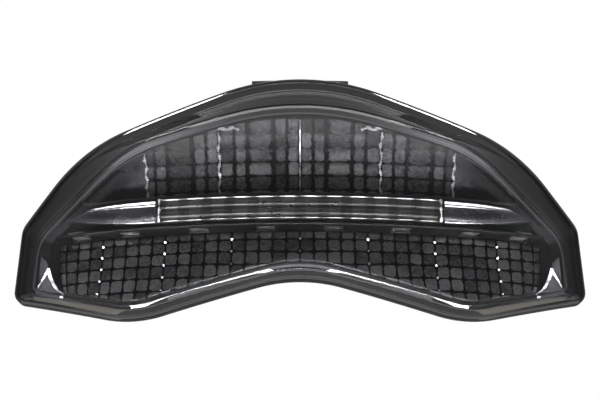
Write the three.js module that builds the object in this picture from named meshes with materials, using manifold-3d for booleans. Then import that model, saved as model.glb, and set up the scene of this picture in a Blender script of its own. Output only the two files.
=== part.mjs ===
// Wraparound motorcycle tail light with a smoked lens, built as an assembly of separate pieces.
// Millimetres, +Z up, lens towards -Y, mounting pad towards +Y. The origin is the centre of the
// rear mounting pad's face.
//
// The lamp wraps round the tail, so most pieces are drawn flat, as (x, z) with a depth forward of
// the seam between lens and housing, and then bent onto the seam's cylinder by bend().
import * as THREE from "three";
import { mergeVertices } from "three/addons/utils/BufferGeometryUtils.js";
import Module from "manifold-3d";

const wasm = await Module();
wasm.setup();

// ---- Driving dimensions ----
const WRAP_RADIUS = 220; // plan radius of the seam
const SEAM_CROWN_Y = -38; // y of the seam at x = 0
const WALL = 2; // lens wall
const SKIRT_FRONT = 6.4; // depth at which the lens skirt turns into the ledge
const CREASE_DEPTH = 8.3; // depth of the crease between ledge and side wall
const GAP = 0.3; // clearance between pieces that rest on each other

// Corner points of the right half of each outline, top centre to bottom centre: [x, z, fillet].
const RIM = [
  [0, 55.5, 99], [87.5, 26.4, 65], [112.6, -3.1, 8],
  [115.1, -32.9, 5], [64.4, -45.3, 47], [0, -27.9, 63],
];
const CREASE = [
  [0, 49.4, 94], [87.4, 21.2, 60], [110.8, -7, 8],
  [112.9, -32.2, 4], [64.2, -44.6, 46], [0, -27.4, 62],
];
const FACE = [
  [0, 36.1, 120], [66.8, 20.1, 50], [104.2, -10.7, 14],
  [106.4, -32.4, 4], [62.5, -43.4, 30], [0, -28, 55],
];

// Segments in each fillet and in each straight run between them, for the right half.
const ARC_STEPS = [6, 4, 2, 3, 4, 4];
const RUN_STEPS = [2, 1, 1, 2, 2];

// Heights of the light bar and of the two reflector shelves above and below it.
const BAR_TOP = -0.5;
const BAR_BOTTOM = -9.6;
const BAR_HALF = 54;
const UPPER_SHELF = 0.2; // underside of the upper reflector's shelf
const LOWER_SHELF = -9.9; // top of the lower reflector's shelf
const SHELF = 1.2; // thickness of both shelves
const SHELF_FRONT = 14.5; // depth of the shelves' front edge

const LED_SIZE = 7;
const LED_DEPTH = 7.4; // depth of the LED centres forward of the seam
const UPPER_LED_X = [-53, -38, -23, -8, 8, 23, 38, 53];
const LOWER_LED_X = [-86, -66, -39, -13, 13, 39, 66, 86];
const BOARD = 1.2; // thickness of a circuit board
const UPPER_BOARD_TOP = -1.4;
const LOWER_BOARD_BOTTOM = -8.6;

const seamY = (x) => SEAM_CROWN_Y + WRAP_RADIUS - Math.sqrt(WRAP_RADIUS ** 2 - x ** 2);
const bend = (x, depth, z) => new THREE.Vector3(x, seamY(x) - depth, z);
const faceDepth = (x) => 24.5 - 10 * (Math.abs(x) / 107) ** 3;
const backDepth = (x) => -18 + 12.5 * (x / 112) ** 2;

// ---- Outlines ----

// The whole closed polygon of corners from its right half, clockwise from the top centre.
function corners(half) {
  const left = half.slice(1, -1).reverse().map(([x, z, r]) => [-x, z, r]);
  return [...half, ...left];
}

// Moves every edge of a closed polygon inwards, and its fillets with it.
function inset(half, by) {
  const all = corners(half);
  const n = all.length;
  const line = (i) => {
    const [ax, az] = all[i];
    const [bx, bz] = all[(i + 1) % n];
    const length = Math.hypot(bx - ax, bz - az);
    const dx = (bx - ax) / length;
    const dz = (bz - az) / length;
    return { px: ax + dz * by, pz: az - dx * by, dx, dz };
  };
  return half.map(([, , r], i) => {
    const a = line((i + n - 1) % n);
    const b = line(i);
    const cross = a.dx * b.dz - a.dz * b.dx;
    const t = ((b.px - a.px) * b.dz - (b.pz - a.pz) * b.dx) / cross;
    const radius = cross < 0 ? Math.max(r - by, 0.6) : r + by;
    return [a.px + a.dx * t, a.pz + a.dz * t, radius];
  });
}

// The fillet at corner i of a closed polygon: its arc's centre, ends and angle.
function filletAt(all, i) {
  const n = all.length;
  const [x, z, radius] = all[i];
  const corner = new THREE.Vector2(x, z);
  const [before, after] = [all[(i + n - 1) % n], all[(i + 1) % n]].map(([ox, oz]) =>
    new THREE.Vector2(ox - x, oz - z).normalize(),
  );
  const halfAngle = Math.acos(before.dot(after)) / 2;
  const reach = radius / Math.tan(halfAngle);
  const inwards = before.clone().add(after).normalize();
  const centre = corner.clone().addScaledVector(inwards, radius / Math.sin(halfAngle));
  const start = corner.clone().addScaledVector(before, reach);
  const end = corner.clone().addScaledVector(after, reach);
  const from = start.clone().sub(centre);
  const to = end.clone().sub(centre);
  return { centre, start, end, turn: Math.atan2(from.cross(to), from.dot(to)) };
}

// Points round an outline with its fillets, as {x, z}. Every outline has them in the same order.
function outline(half) {
  const all = corners(half);
  const n = all.length;
  const last = half.length - 1;
  const fillets = all.map((_, i) => filletAt(all, i));
  const points = [];
  fillets.forEach(({ centre, start, end, turn }, i) => {
    const arc = ARC_STEPS[i <= last ? i : n - i];
    for (let k = 0; k <= arc; k++) {
      const p = start.clone().rotateAround(centre, (turn * k) / arc);
      points.push({ x: p.x, z: p.y, corner: i });
    }
    const run = RUN_STEPS[i < last ? i : n - i - 1];
    const next = fillets[(i + 1) % n].start;
    for (let k = 1; k < run; k++) {
      const p = end.clone().lerp(next, k / run);
      points.push({ x: p.x, z: p.y, corner: i + 0.5 });
    }
  });
  return points;
}

const { lerp } = THREE.MathUtils;
const between = (a, b, t) => a.map((p, i) => ({ x: lerp(p.x, b[i].x, t), z: lerp(p.z, b[i].z, t) }));

// Height of an outline's upper or lower edge at x.
function edgeAt(points, x, upper) {
  const found = [];
  points.forEach((p, i) => {
    const q = points[(i + 1) % points.length];
    if ((p.x - x) * (q.x - x) <= 0 && p.x !== q.x) found.push(lerp(p.z, q.z, (x - p.x) / (q.x - p.x)));
  });
  return upper ? Math.max(...found) : Math.min(...found);
}

// The curve along the middle of the lamp that the face and the back plate close towards.
const spineZ = (x) => 2 - 0.21 * (Math.sqrt(x ** 2 + 225) - 15);
const towardsSpine = (points, t) =>
  points.map((p) => {
    const sx = p.x * 0.86;
    return { x: p.x + (sx - p.x) * t, z: p.z + (spineZ(sx) - p.z) * t };
  });

// ---- Solids ----

function geometryOf(vertices, faces) {
  const geometry = new THREE.BufferGeometry().setFromPoints(vertices);
  geometry.setIndex(faces.flat());
  let volume = 0;
  for (const [a, b, c] of faces) volume += vertices[a].dot(vertices[b].clone().cross(vertices[c]));
  if (volume < 0) geometry.setIndex(faces.flatMap(([a, b, c]) => [a, c, b]));
  return geometry;
}

// A ring of bent points. depth is a number or a function of the point.
function ring(points, depth) {
  const at = typeof depth === "function" ? depth : () => depth;
  return points.map((p) => bend(p.x, at(p), p.z));
}

// Fills a narrow clockwise ring with short triangles between its upper and its lower edge.
function zip(points) {
  const n = points.length;
  const start = points.reduce((best, p, i) => (p.x < points[best].x ? i : best), 0);
  let upper = (start + 1) % n;
  let lower = (start + n - 1) % n;
  const faces = [[lower, start, upper]];
  while ((upper + 1) % n !== lower) {
    const right = (upper + 1) % n;
    const under = (lower + n - 1) % n;
    if (points[right].x < points[under].x) {
      faces.push([upper, right, lower]);
      upper = right;
    } else {
      faces.push([under, lower, upper]);
      lower = under;
    }
  }
  return faces;
}

// Joins rings of equal size into one closed solid: capped at both ends, or closed on itself.
function loft(rings, closed = false) {
  const n = rings[0].length;
  const vertices = rings.flat();
  const faces = [];
  const strips = closed ? rings.length : rings.length - 1;
  for (let k = 0; k < strips; k++) {
    const a = k * n;
    const b = ((k + 1) % rings.length) * n;
    for (let i = 0; i < n; i++) {
      const j = (i + 1) % n;
      faces.push([a + i, b + i, a + j], [a + j, b + i, b + j]);
    }
  }
  if (!closed) {
    const last = (rings.length - 1) * n;
    for (const [a, b, c] of zip(rings[0])) faces.push([a, b, c]);
    for (const [a, b, c] of zip(rings.at(-1))) faces.push([last + a, last + c, last + b]);
  }
  return geometryOf(vertices, faces);
}

// A closed sheet between a front and a back grid of points, both [column][row].
function slab(front, back) {
  const columns = front.length;
  const rows = front[0].length;
  const vertices = [...front.flat(), ...back.flat()];
  const at = (side, i, j) => side * columns * rows + i * rows + j;
  const faces = [];
  const quad = (a, b, c, d) => faces.push([a, b, c], [a, c, d]);
  for (let i = 0; i < columns - 1; i++)
    for (let j = 0; j < rows - 1; j++) {
      quad(at(0, i, j), at(0, i + 1, j), at(0, i + 1, j + 1), at(0, i, j + 1));
      quad(at(1, i, j), at(1, i, j + 1), at(1, i + 1, j + 1), at(1, i + 1, j));
    }
  for (let i = 0; i < columns - 1; i++) {
    quad(at(0, i, 0), at(1, i, 0), at(1, i + 1, 0), at(0, i + 1, 0));
    quad(at(0, i, rows - 1), at(0, i + 1, rows - 1), at(1, i + 1, rows - 1), at(1, i, rows - 1));
  }
  const end = columns - 1;
  for (let j = 0; j < rows - 1; j++) {
    quad(at(0, 0, j), at(0, 0, j + 1), at(1, 0, j + 1), at(1, 0, j));
    quad(at(0, end, j), at(1, end, j), at(1, end, j + 1), at(0, end, j + 1));
  }
  return geometryOf(vertices, faces);
}

// A strip of wall whose section is a line of {depth, z} points, given thickness by offsetting it.
function sheetOf(stations, sectionAt, thickness) {
  const front = [];
  const back = [];
  for (const x of stations) {
    const section = sectionAt(x);
    const offset = section.map((p, j) => {
      const a = section[Math.max(j - 1, 0)];
      const b = section[Math.min(j + 1, section.length - 1)];
      const along = new THREE.Vector2(b.depth - a.depth, b.z - a.z).normalize();
      return { depth: p.depth - along.y * thickness, z: p.z + along.x * thickness };
    });
    front.push(section.map((p) => bend(x, p.depth + (p.proud ?? 0), p.z)));
    back.push(offset.map((p) => bend(x, p.depth, p.z)));
  }
  return slab(front, back);
}

// A geometry as a manifold solid, and back.
function solidOf(geometry) {
  const bare = geometry.clone();
  bare.deleteAttribute("normal");
  bare.deleteAttribute("uv");
  const merged = mergeVertices(bare, 1e-4);
  return new wasm.Manifold(
    new wasm.Mesh({
      numProp: 3,
      vertProperties: merged.attributes.position.array,
      triVerts: new Uint32Array(merged.index.array),
    }),
  );
}

function geometryFrom(solid) {
  const { numProp, vertProperties, triVerts } = solid.getMesh();
  const position = new Float32Array((vertProperties.length / numProp) * 3);
  for (let i = 0; i < position.length / 3; i++)
    for (let k = 0; k < 3; k++) position[i * 3 + k] = vertProperties[i * numProp + k];
  const geometry = new THREE.BufferGeometry();
  geometry.setAttribute("position", new THREE.BufferAttribute(position, 3));
  geometry.setIndex(new THREE.BufferAttribute(triVerts, 1));
  return geometry;
}

const boxAt = (x, y, z, w, d, h) => new THREE.BoxGeometry(w, d, h).translate(x, y, z);
// A cylinder whose axis is Y, from one y to another.
const cylinderY = (x, z, r, y0, y1, sides = 14) =>
  new THREE.CylinderGeometry(r, r, y1 - y0, sides).translate(x, (y0 + y1) / 2, z);
const cylinderZ = (x, y, r, z0, z1, sides = 14) =>
  new THREE.CylinderGeometry(r, r, z1 - z0, sides).rotateX(Math.PI / 2).translate(x, y, (z0 + z1) / 2);

const spread = (from, to, steps) => Array.from({ length: steps + 1 }, (_, i) => lerp(from, to, i / steps));

// ---- Lens and housing ----

const CROWN = 3; // how far the middle of the face stands proud of its edge
const FACE_EDGE = 1.4; // inset of the flat face inside its outline
const SHOULDER = { outset: 0.9, drop: 2.2 }; // where the rounded shoulder meets the side wall
const SHOULDER_ROUND = 0.6; // drop of the shoulder at the face's outline
const RIM_ROUND = 0.7; // chamfer where the skirt turns into the ledge
const LENS_FOOT = -1; // depth of the skirt's free edge
const WALL_BEND = { share: 0.45, depth: 0.55 }; // the ring that bows the side wall out
const crownedDepth = (t, less) => (p) => faceDepth(p.x) + CROWN * (1 - (1 - t) ** 2) - less;

function lensGeometry() {
  const rim = outline(RIM);
  const crease = outline(CREASE);
  const shoulder = outline(inset(FACE, -SHOULDER.outset));
  const faceEdge = outline(inset(FACE, FACE_EDGE));
  const faceInside = outline(inset(FACE, FACE_EDGE * 2));
  const innerCrease = outline(inset(CREASE, WALL));
  const wallDepth = (share, less) => (p) => lerp(CREASE_DEPTH, faceDepth(p.x) - SHOULDER.drop, share) - less;
  const rings = [];
  for (const t of [0.88, 0.6, 0.3]) rings.push(ring(towardsSpine(faceEdge, t), crownedDepth(t, 0)));
  rings.push(ring(faceEdge, crownedDepth(0, 0)));
  rings.push(ring(outline(FACE), crownedDepth(0, SHOULDER_ROUND)));
  rings.push(ring(shoulder, crownedDepth(0, SHOULDER.drop)));
  rings.push(ring(between(crease, shoulder, WALL_BEND.share), wallDepth(WALL_BEND.depth, 0)));
  rings.push(ring(crease, CREASE_DEPTH));
  rings.push(ring(outline(inset(RIM, RIM_ROUND)), SKIRT_FRONT + RIM_ROUND));
  rings.push(ring(rim, SKIRT_FRONT));
  rings.push(ring(rim, LENS_FOOT));
  rings.push(ring(outline(inset(RIM, WALL)), LENS_FOOT));
  rings.push(ring(outline(inset(RIM, WALL)), SKIRT_FRONT - 0.8 * WALL));
  rings.push(ring(innerCrease, CREASE_DEPTH - WALL));
  const innerWall = between(innerCrease, outline(inset(FACE, 0.6 * WALL)), WALL_BEND.share);
  rings.push(ring(innerWall, wallDepth(WALL_BEND.depth, WALL / 2)));
  rings.push(ring(outline(inset(FACE, 0.9 * WALL)), crownedDepth(0, 1.9 * WALL)));
  rings.push(ring(faceInside, crownedDepth(0, 1.15 * WALL)));
  for (const t of [0.3, 0.6, 0.88]) rings.push(ring(towardsSpine(faceInside, t), crownedDepth(t, WALL)));
  return loft(rings);
}

const PAD = { halfWidth: 27, halfHeight: 11, depth: 19.5, insertX: 18, insertRadius: 3.4, insertDepth: 11 };
const TAB = { halfWidth: 19.4, top: 53.8, thickness: 3.2, webDepths: [-8.3, -5.3], webFoot: 44.4, back: -12 };
const TAB_HOLE = { x: 11, y: -19, radius: 2.75 };
const GUSSET = { x: 17.2, thickness: 2, foot: 45.2, back: -21, under: 2.6 };
const REAR_RIB = { reach: 86, z: 2, width: 2, height: 2.4, root: 0.8 };
const UPRIGHT = { x: 66, z: -8, height: 40 };
const INLET = { x: 46, z: -14, collarRadius: 8.2, boreRadius: 5.6, cableRadius: 3.2, face: -11 };
const VENT = { x: -46, z: -14, bossRadius: 3, face: -12 };
const PEGS = { xs: [-72, 0, 72], z: -5, radius: 2, socketRadius: 4 };
// The housing's flange round its rim, and the tongue on it that stands inside the lens.
const FLANGE = { back: -5, front: -2.8, tongueInset: 4.8, tongueFront: 3.5, thickness: 1.8 };
const BACK_INSET = 9.5; // inset of the back plate inside the rim
const BACK_WALL = 2.2; // thickness of the back plate
const PAD_ROUND = 4;
const PAD_CORE = { width: 20, height: 16 }; // hollow behind the pad that keeps its wall even
const DRIVER = { x: -31, z: 17, width: 40, height: 18, back: -26, screwX: 16 };

const driverHoles = (radius, y0, y1) =>
  [-1, 1].map((s) => cylinderY(DRIVER.x + s * DRIVER.screwX, DRIVER.z, radius, y0, y1, 10));

function housingShell() {
  const shallowest = FLANGE.back - 1.2;
  const floor = (less) => (p) => Math.min(backDepth(p.x), shallowest) + less;
  const back = outline(inset(RIM, BACK_INSET));
  const inside = outline(inset(RIM, BACK_INSET + 2));
  const knee = outline(inset(RIM, BACK_INSET - 1.5));
  const tongue = outline(inset(RIM, FLANGE.tongueInset));
  const rings = [];
  for (const t of [0.88, 0.6, 0.3]) rings.push(ring(towardsSpine(back, t), floor(0)));
  rings.push(ring(back, floor(0)));
  rings.push(ring(knee, (p) => Math.min(floor(1.6)(p), FLANGE.back - 0.3)));
  rings.push(ring(outline(inset(RIM, FLANGE.tongueInset + 2.1)), FLANGE.back));
  rings.push(ring(outline(inset(RIM, 1.4)), FLANGE.back));
  rings.push(ring(outline(inset(RIM, 2 * GAP)), FLANGE.front));
  rings.push(ring(tongue, FLANGE.front));
  rings.push(ring(tongue, FLANGE.tongueFront));
  rings.push(ring(outline(inset(RIM, FLANGE.tongueInset + FLANGE.thickness)), FLANGE.tongueFront));
  rings.push(ring(knee, (p) => Math.max(floor(5)(p), -3)));
  rings.push(ring(inside, floor(BACK_WALL)));
  for (const t of [0.3, 0.6, 0.88]) rings.push(ring(towardsSpine(inside, t), floor(BACK_WALL)));
  return loft(rings);
}

function roundedPad() {
  const { halfWidth: w, halfHeight: h } = PAD;
  const r = PAD_ROUND;
  const shape = new THREE.Shape();
  shape.moveTo(w - r, -h).absarc(w - r, -h + r, r, -Math.PI / 2, 0);
  shape.absarc(w - r, h - r, r, 0, Math.PI / 2).absarc(-w + r, h - r, r, Math.PI / 2, Math.PI);
  shape.absarc(-w + r, -h + r, r, Math.PI, Math.PI * 1.5).closePath();
  const block = new THREE.ExtrudeGeometry(shape, { depth: PAD.depth, bevelEnabled: false, curveSegments: 4 });
  return block.rotateX(Math.PI / 2);
}

// Stiffening ribs over the back of the housing.
function rearRibs() {
  const { reach, z, width, height, root } = REAR_RIB;
  const rib = (stations, level) => {
    const rows = (from, to) => stations.map((x) => [from, to].map((d) => bend(x, backDepth(x) + d, level)));
    const lowered = (grid, by) => grid.map((column) => column.map((p) => p.clone().setZ(p.z + by)));
    const top = rows(root, -height);
    return slab(lowered(top, width / 2), lowered(top, -width / 2));
  };
  const uprights = [-1, 1].map((s) => {
    const y = seamY(UPRIGHT.x) - backDepth(UPRIGHT.x);
    const middle = y + (height - root) / 2;
    return boxAt(s * UPRIGHT.x, middle, UPRIGHT.z, width, height + root, UPRIGHT.height);
  });
  return [rib(spread(-reach, reach, 12), z), ...uprights];
}

function housingGeometry() {
  const collar = cylinderY(INLET.x, INLET.z, INLET.collarRadius, -20, INLET.face, 16);
  const ventBoss = cylinderY(VENT.x, VENT.z, VENT.bossRadius, -20, VENT.face);
  const sockets = PEGS.xs.map((x) => {
    return cylinderY(x, PEGS.z, PEGS.socketRadius, seamY(x) + 4, seamY(x) - backDepth(x) - 1, 12);
  });
  const posts = [-1, 1].map((s) => {
    const x = DRIVER.x + s * DRIVER.screwX;
    return cylinderY(x, DRIVER.z, 3, DRIVER.back + GAP, seamY(x) - backDepth(x) - 1, 12);
  });
  let solid = solidOf(housingShell());
  for (const piece of [roundedPad(), ...rearRibs(), collar, ventBoss, ...sockets, ...posts])
    solid = solid.add(solidOf(piece));
  const cuts = [
    boxAt(0, -14, 0, PAD_CORE.width, 20, PAD_CORE.height),
    cylinderY(INLET.x, INLET.z, INLET.boreRadius, -40, 0, 16),
    ...[-1, 1].map((s) => cylinderY(s * PAD.insertX, 0, PAD.insertRadius, -PAD.insertDepth, 1)),
    ...PEGS.xs.map((x) => cylinderY(x, PEGS.z, PEGS.radius + GAP, seamY(x), seamY(x) + 11, 16)),
    ...driverHoles(1.4, DRIVER.back - 1, DRIVER.back + 5),
  ];
  for (const piece of cuts) solid = solid.subtract(solidOf(piece));
  return geometryFrom(solid);
}

// The top mounting bracket, bonded to the back of the housing's flange.
function bracketGeometry() {
  const { halfWidth, top, thickness, webDepths, webFoot, back } = TAB;
  const web = crescent(halfWidth, webDepths, [webFoot, top], 4);
  const front = SEAM_CROWN_Y - webDepths[1] + 1.9;
  const shelf = boxAt(0, (front + back) / 2, top - thickness / 2, halfWidth * 2, back - front, thickness);
  const gussets = [-1, 1].map((s) => {
    const wedge = new THREE.Shape();
    wedge.moveTo(front, top - GUSSET.under).lineTo(front, GUSSET.foot);
    wedge.lineTo(GUSSET.back, top - GUSSET.under).closePath();
    const solid = new THREE.ExtrudeGeometry(wedge, { depth: GUSSET.thickness, bevelEnabled: false });
    solid.rotateX(Math.PI / 2).rotateZ(Math.PI / 2);
    return solid.translate(s * GUSSET.x - GUSSET.thickness / 2, 0, 0);
  });
  let solid = solidOf(web).add(solidOf(shelf));
  for (const gusset of gussets) solid = solid.add(solidOf(gusset));
  for (const s of [-1, 1]) {
    const hole = cylinderZ(s * TAB_HOLE.x, TAB_HOLE.y, TAB_HOLE.radius, 40, 60);
    solid = solid.subtract(solidOf(hole));
  }
  return geometryFrom(solid);
}

const SEAL = { outer: 0.4, inner: 4.4, front: LENS_FOOT - GAP, back: FLANGE.front + GAP };

function sealGeometry() {
  const outer = outline(inset(RIM, SEAL.outer));
  const inner = outline(inset(RIM, SEAL.inner));
  const section = [[outer, SEAL.front], [inner, SEAL.front], [inner, SEAL.back], [outer, SEAL.back]];
  return loft(section.map(([points, depth]) => ring(points, depth)), true);
}

// ---- Trim and reflectors ----

const faceOutline = outline(FACE);

const BAR_WALL = 1.1;
// Section of the bar over its two flutes: [depth, distance below its top].
const BAR_SECTION = [
  [14, 0], [16.6, 0], [17.6, 0.7], [18.2, 1.8], [17.5, 3], [17.9, 4], [17, 5],
  [17.9, 6.2], [18, 7.3], [17.2, 8.7], [16.4, 9.1], [14, 9.1],
];

function barGeometry() {
  const section = BAR_SECTION.map(([depth, below]) => ({ depth, z: BAR_TOP - below }));
  return sheetOf(spread(-BAR_HALF, BAR_HALF, 10), () => section.toReversed(), BAR_WALL);
}

// The wings carry on from the bar. rise is how far the lower edge climbs to the tip, lean how far the
// face falls back per millimetre, and round how far its edges fall behind its middle.
const WING = {
  gap: 0.6, topLength: 27, bottomLength: 36, depth: 16.4, lean: 0.05, round: 1, droop: 1.2, rise: 4.2,
};
const TRIM_WALL = 1.2; // thickness of the wings and corner trims
const TRIM_STEP = 0.2; // how far the wings sit inside the bar's top and bottom

function wingGeometry(side) {
  const rows = spread(0, 1, 5);
  const columns = spread(0, 1, 6);
  const point = (u, v, less) => {
    const x = BAR_HALF + WING.gap + (lerp(WING.topLength, WING.bottomLength, v) - WING.gap) * u;
    const top = BAR_TOP - TRIM_STEP - WING.droop * u ** 4;
    const bottom = BAR_BOTTOM + TRIM_STEP + WING.rise * u ** 2;
    const depth = WING.depth - WING.lean * (x - BAR_HALF) - WING.round * (2 * v - 1) ** 2;
    return bend(side * x, depth - less, lerp(top, bottom, v));
  };
  const front = columns.map((u) => rows.map((v) => point(u, v, 0)));
  const back = columns.map((u) => rows.map((v) => point(u, v, TRIM_WALL)));
  return slab(front, back);
}

// The smooth facet that closes each lower corner beside the lower reflector: its top and bottom points.
const CORNER_TRIM = {
  inner: [[98.5, -20.5], [91.5, -33]], outer: [[101.2, -18], [103.2, -30.6]], behindFace: 4.6,
};

function cornerTrimGeometry(side) {
  const { inner, outer, behindFace } = CORNER_TRIM;
  const columns = spread(0, 1, 3);
  const point = (u, v, less) => {
    const x = lerp(inner[v][0], outer[v][0], u);
    const z = lerp(inner[v][1], outer[v][1], u);
    return bend(side * x, faceDepth(x) - behindFace - less, z);
  };
  const front = columns.map((u) => [0, 1].map((v) => point(u, v, 0)));
  const back = columns.map((u) => [0, 1].map((v) => point(u, v, TRIM_WALL)));
  return slab(front, back);
}

function windows(positions, z) {
  return positions.map((x) =>
    new THREE.BoxGeometry(LED_SIZE + 0.8, LED_SIZE + 0.8, 6)
      .rotateZ(Math.asin(x / WRAP_RADIUS))
      .translate(x, seamY(x) - LED_DEPTH, z),
  );
}

function cut(geometry, tools) {
  let solid = solidOf(geometry);
  for (const tool of tools) solid = solid.subtract(solidOf(tool));
  return geometryFrom(solid);
}

// Ridges that divide the reflectors into bays, and how far they stand proud.
const UPPER_RIDGES = [-59.5, -31, 0, 31, 59.5];
const LOWER_RIDGES = [-77, -52, -26, 0, 26, 52, 77];
const RIDGE_WIDTH = 1.8;
const RIDGE_HEIGHT = 1;
const STATION_SPACING = 13;

function ridgedStations(ridges, reach) {
  const bays = [-reach, ...ridges, reach];
  const stations = [-reach];
  for (let i = 0; i < bays.length - 1; i++) {
    const from = bays[i] + (i > 0 ? RIDGE_WIDTH / 2 : 0);
    const to = bays[i + 1] - (i < ridges.length ? RIDGE_WIDTH / 2 : 0);
    const steps = Math.max(1, Math.round((to - from) / STATION_SPACING));
    stations.push(...spread(from, to, steps).slice(i > 0 ? 0 : 1));
    if (i < ridges.length) stations.push(ridges[i]);
  }
  return stations;
}

const UPPER_REACH = 84;
const LOWER_REACH = 95.5;
// Each bowl runs from its deepest line by the shelf to an edge behind the face. edge is how far that
// edge stays inside the face's outline, behindFace how far behind the face, and curve its power.
const UPPER_BOWL = { deepest: 4, edge: 3.4, behindFace: 5.6, curve: 1.6 };
const LOWER_BOWL = { deepest: 2.5, edge: 3.2, behindFace: 6.4, curve: 1.8 };
const BOWL_ROWS = spread(0, 1, 5);
const SHELF_FOLD = { depth: 0.6, z: 0.3 }; // the small step where a shelf folds into its bowl

function upperReflectorGeometry() {
  const { deepest, edge, behindFace, curve } = UPPER_BOWL;
  const floor = UPPER_SHELF + SHELF;
  const section = (x) => {
    const top = edgeAt(faceOutline, x, true) - edge;
    const rows = BOWL_ROWS.map((w) => ({
      depth: lerp(deepest, faceDepth(x) - behindFace, w ** curve),
      z: lerp(floor + SHELF_FOLD.z, top, w),
      proud: UPPER_RIDGES.includes(x) && w > 0 ? RIDGE_HEIGHT : 0,
    }));
    return [{ depth: SHELF_FRONT, z: floor }, { depth: deepest + SHELF_FOLD.depth, z: floor }, ...rows];
  };
  const sheet = sheetOf(ridgedStations(UPPER_RIDGES, UPPER_REACH), section, SHELF);
  return cut(sheet, windows(UPPER_LED_X, UPPER_SHELF));
}

function lowerReflectorGeometry() {
  const { deepest, edge, behindFace, curve } = LOWER_BOWL;
  const ceiling = LOWER_SHELF - SHELF;
  const section = (x) => {
    const bottom = edgeAt(faceOutline, x, false) + edge;
    const rows = BOWL_ROWS.map((w) => ({
      depth: lerp(deepest, faceDepth(x) - behindFace, w ** curve),
      z: lerp(ceiling - SHELF_FOLD.z, bottom, w),
      proud: LOWER_RIDGES.includes(x) && w > 0 ? RIDGE_HEIGHT : 0,
    }));
    const front = Math.min(SHELF_FRONT, faceDepth(x) - 5.5);
    return [{ depth: front, z: ceiling }, { depth: deepest + SHELF_FOLD.depth, z: ceiling }, ...rows];
  };
  const sheet = sheetOf(ridgedStations(LOWER_RIDGES, LOWER_REACH), section, -SHELF);
  return cut(sheet, windows(LOWER_LED_X, LOWER_SHELF));
}

// ---- Electrics ----

// A crescent-shaped plate or bar that follows the seam, between two depths and two heights.
function crescent(reach, depths, heights, steps = 14) {
  const stations = spread(-reach, reach, steps);
  const level = (z) => stations.map((x) => depths.map((depth) => bend(x, depth, z)));
  return slab(level(heights[1]), level(heights[0]));
}

const BOARD_DEPTHS = [3, 11.2];
const CARRIER_DEPTHS = [3.6, 10.6];
const CARRIER_REACH = 86;
const UPPER_BOARD_REACH = 60;
const LOWER_BOARD_REACH = 90;

function carrierGeometry() {
  const heights = [LOWER_BOARD_BOTTOM + BOARD + GAP, UPPER_BOARD_TOP - BOARD - GAP];
  const bar = crescent(CARRIER_REACH, CARRIER_DEPTHS, heights);
  let solid = solidOf(bar);
  for (const x of PEGS.xs) {
    const peg = cylinderY(x, PEGS.z, PEGS.radius, seamY(x) - 5, seamY(x) + 9, 16);
    solid = solid.add(solidOf(peg));
  }
  return geometryFrom(solid);
}

// A square LED package with a low domed lens, standing on z = 0.
function ledGeometry() {
  const body = boxAt(0, 0, 1, LED_SIZE, LED_SIZE, 1.6);
  const dome = new THREE.SphereGeometry(0.4 * LED_SIZE, 8, 5).scale(1, 1, 0.4).translate(0, 0, 1.4);
  const below = boxAt(0, 0, -1.7, 8, 8, 4);
  return geometryFrom(solidOf(dome).subtract(solidOf(below)).add(solidOf(body)));
}

// A pan-head screw with its axis along Z, the head's seat on z = 0 and the shank below it.
function screwGeometry(headRadius, headHeight, shankRadius, length) {
  const profile = [
    [0, -length], [shankRadius * 0.4, -length], [shankRadius, -length + shankRadius], [shankRadius, 0],
    [headRadius, 0], [headRadius, headHeight * 0.55], [headRadius * 0.6, headHeight], [0, headHeight],
  ];
  return new THREE.LatheGeometry(profile.map(([r, y]) => new THREE.Vector2(r, y)), 8).rotateX(Math.PI / 2);
}

const BOARD_SCREW_X = { upper: [-45.5, 0, 45.5], lower: [-77.5, 0, 77.5] };
const boardHoles = (positions) => positions.map((x) => cylinderZ(x, seamY(x) - LED_DEPTH, 1.3, -12, 2, 10));

function leadGeometry(x, boardZ) {
  const edge = seamY(x) - BOARD_DEPTHS[0] + GAP;
  const path = new THREE.CatmullRomCurve3([
    new THREE.Vector3(x, DRIVER.back - BOARD - GAP - 0.4, DRIVER.z - 7),
    new THREE.Vector3(x, DRIVER.back - BOARD - 3.5, DRIVER.z - 9),
    new THREE.Vector3(x, DRIVER.back - BOARD - 5, (DRIVER.z - 9 + boardZ) / 2),
    new THREE.Vector3(x, edge + 2.6, boardZ + 1),
    new THREE.Vector3(x, edge, boardZ),
  ]);
  const section = new THREE.Shape().absarc(0, 0, 0.5, 0, Math.PI * 2);
  const options = { steps: 10, extrudePath: path, curveSegments: 3, bevelEnabled: false };
  return new THREE.ExtrudeGeometry(section, options);
}

// ---- Hardware ----

// A closed profile of [radius, height] pairs turned round Y.
const turned = (profile, sides = 14) =>
  new THREE.LatheGeometry([...profile, profile[0]].map(([r, y]) => new THREE.Vector2(r, y)), sides);

function grommetGeometry() {
  const { face, boreRadius: bore } = INLET;
  const inner = -21.9;
  return turned([
    [INLET.cableRadius, face + 5], [INLET.cableRadius, inner], [5.4, inner],
    [bore + 1, inner + 1.6], [bore - GAP, inner + 1.6],
    [bore - GAP, face + GAP], [7.4, face + GAP], [7.4, face + 2.2], [5, face + 3], [4.6, face + 5],
  ], 16);
}

function insertGeometry() {
  const r = PAD.insertRadius - GAP;
  return turned([
    [2.1, -0.4], [2.1, -10], [r, -10], [r, -6.4],
    [r - 0.5, -6], [r - 0.5, -4.6], [r, -4.2], [r, -0.4],
  ]);
}

function nutGeometry() {
  const hexagon = new THREE.CylinderGeometry(4.6, 4.6, 4, 6).rotateX(Math.PI / 2);
  return cut(hexagon, [cylinderZ(0, 0, 2.1, -3, 3, 16)]);
}

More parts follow.
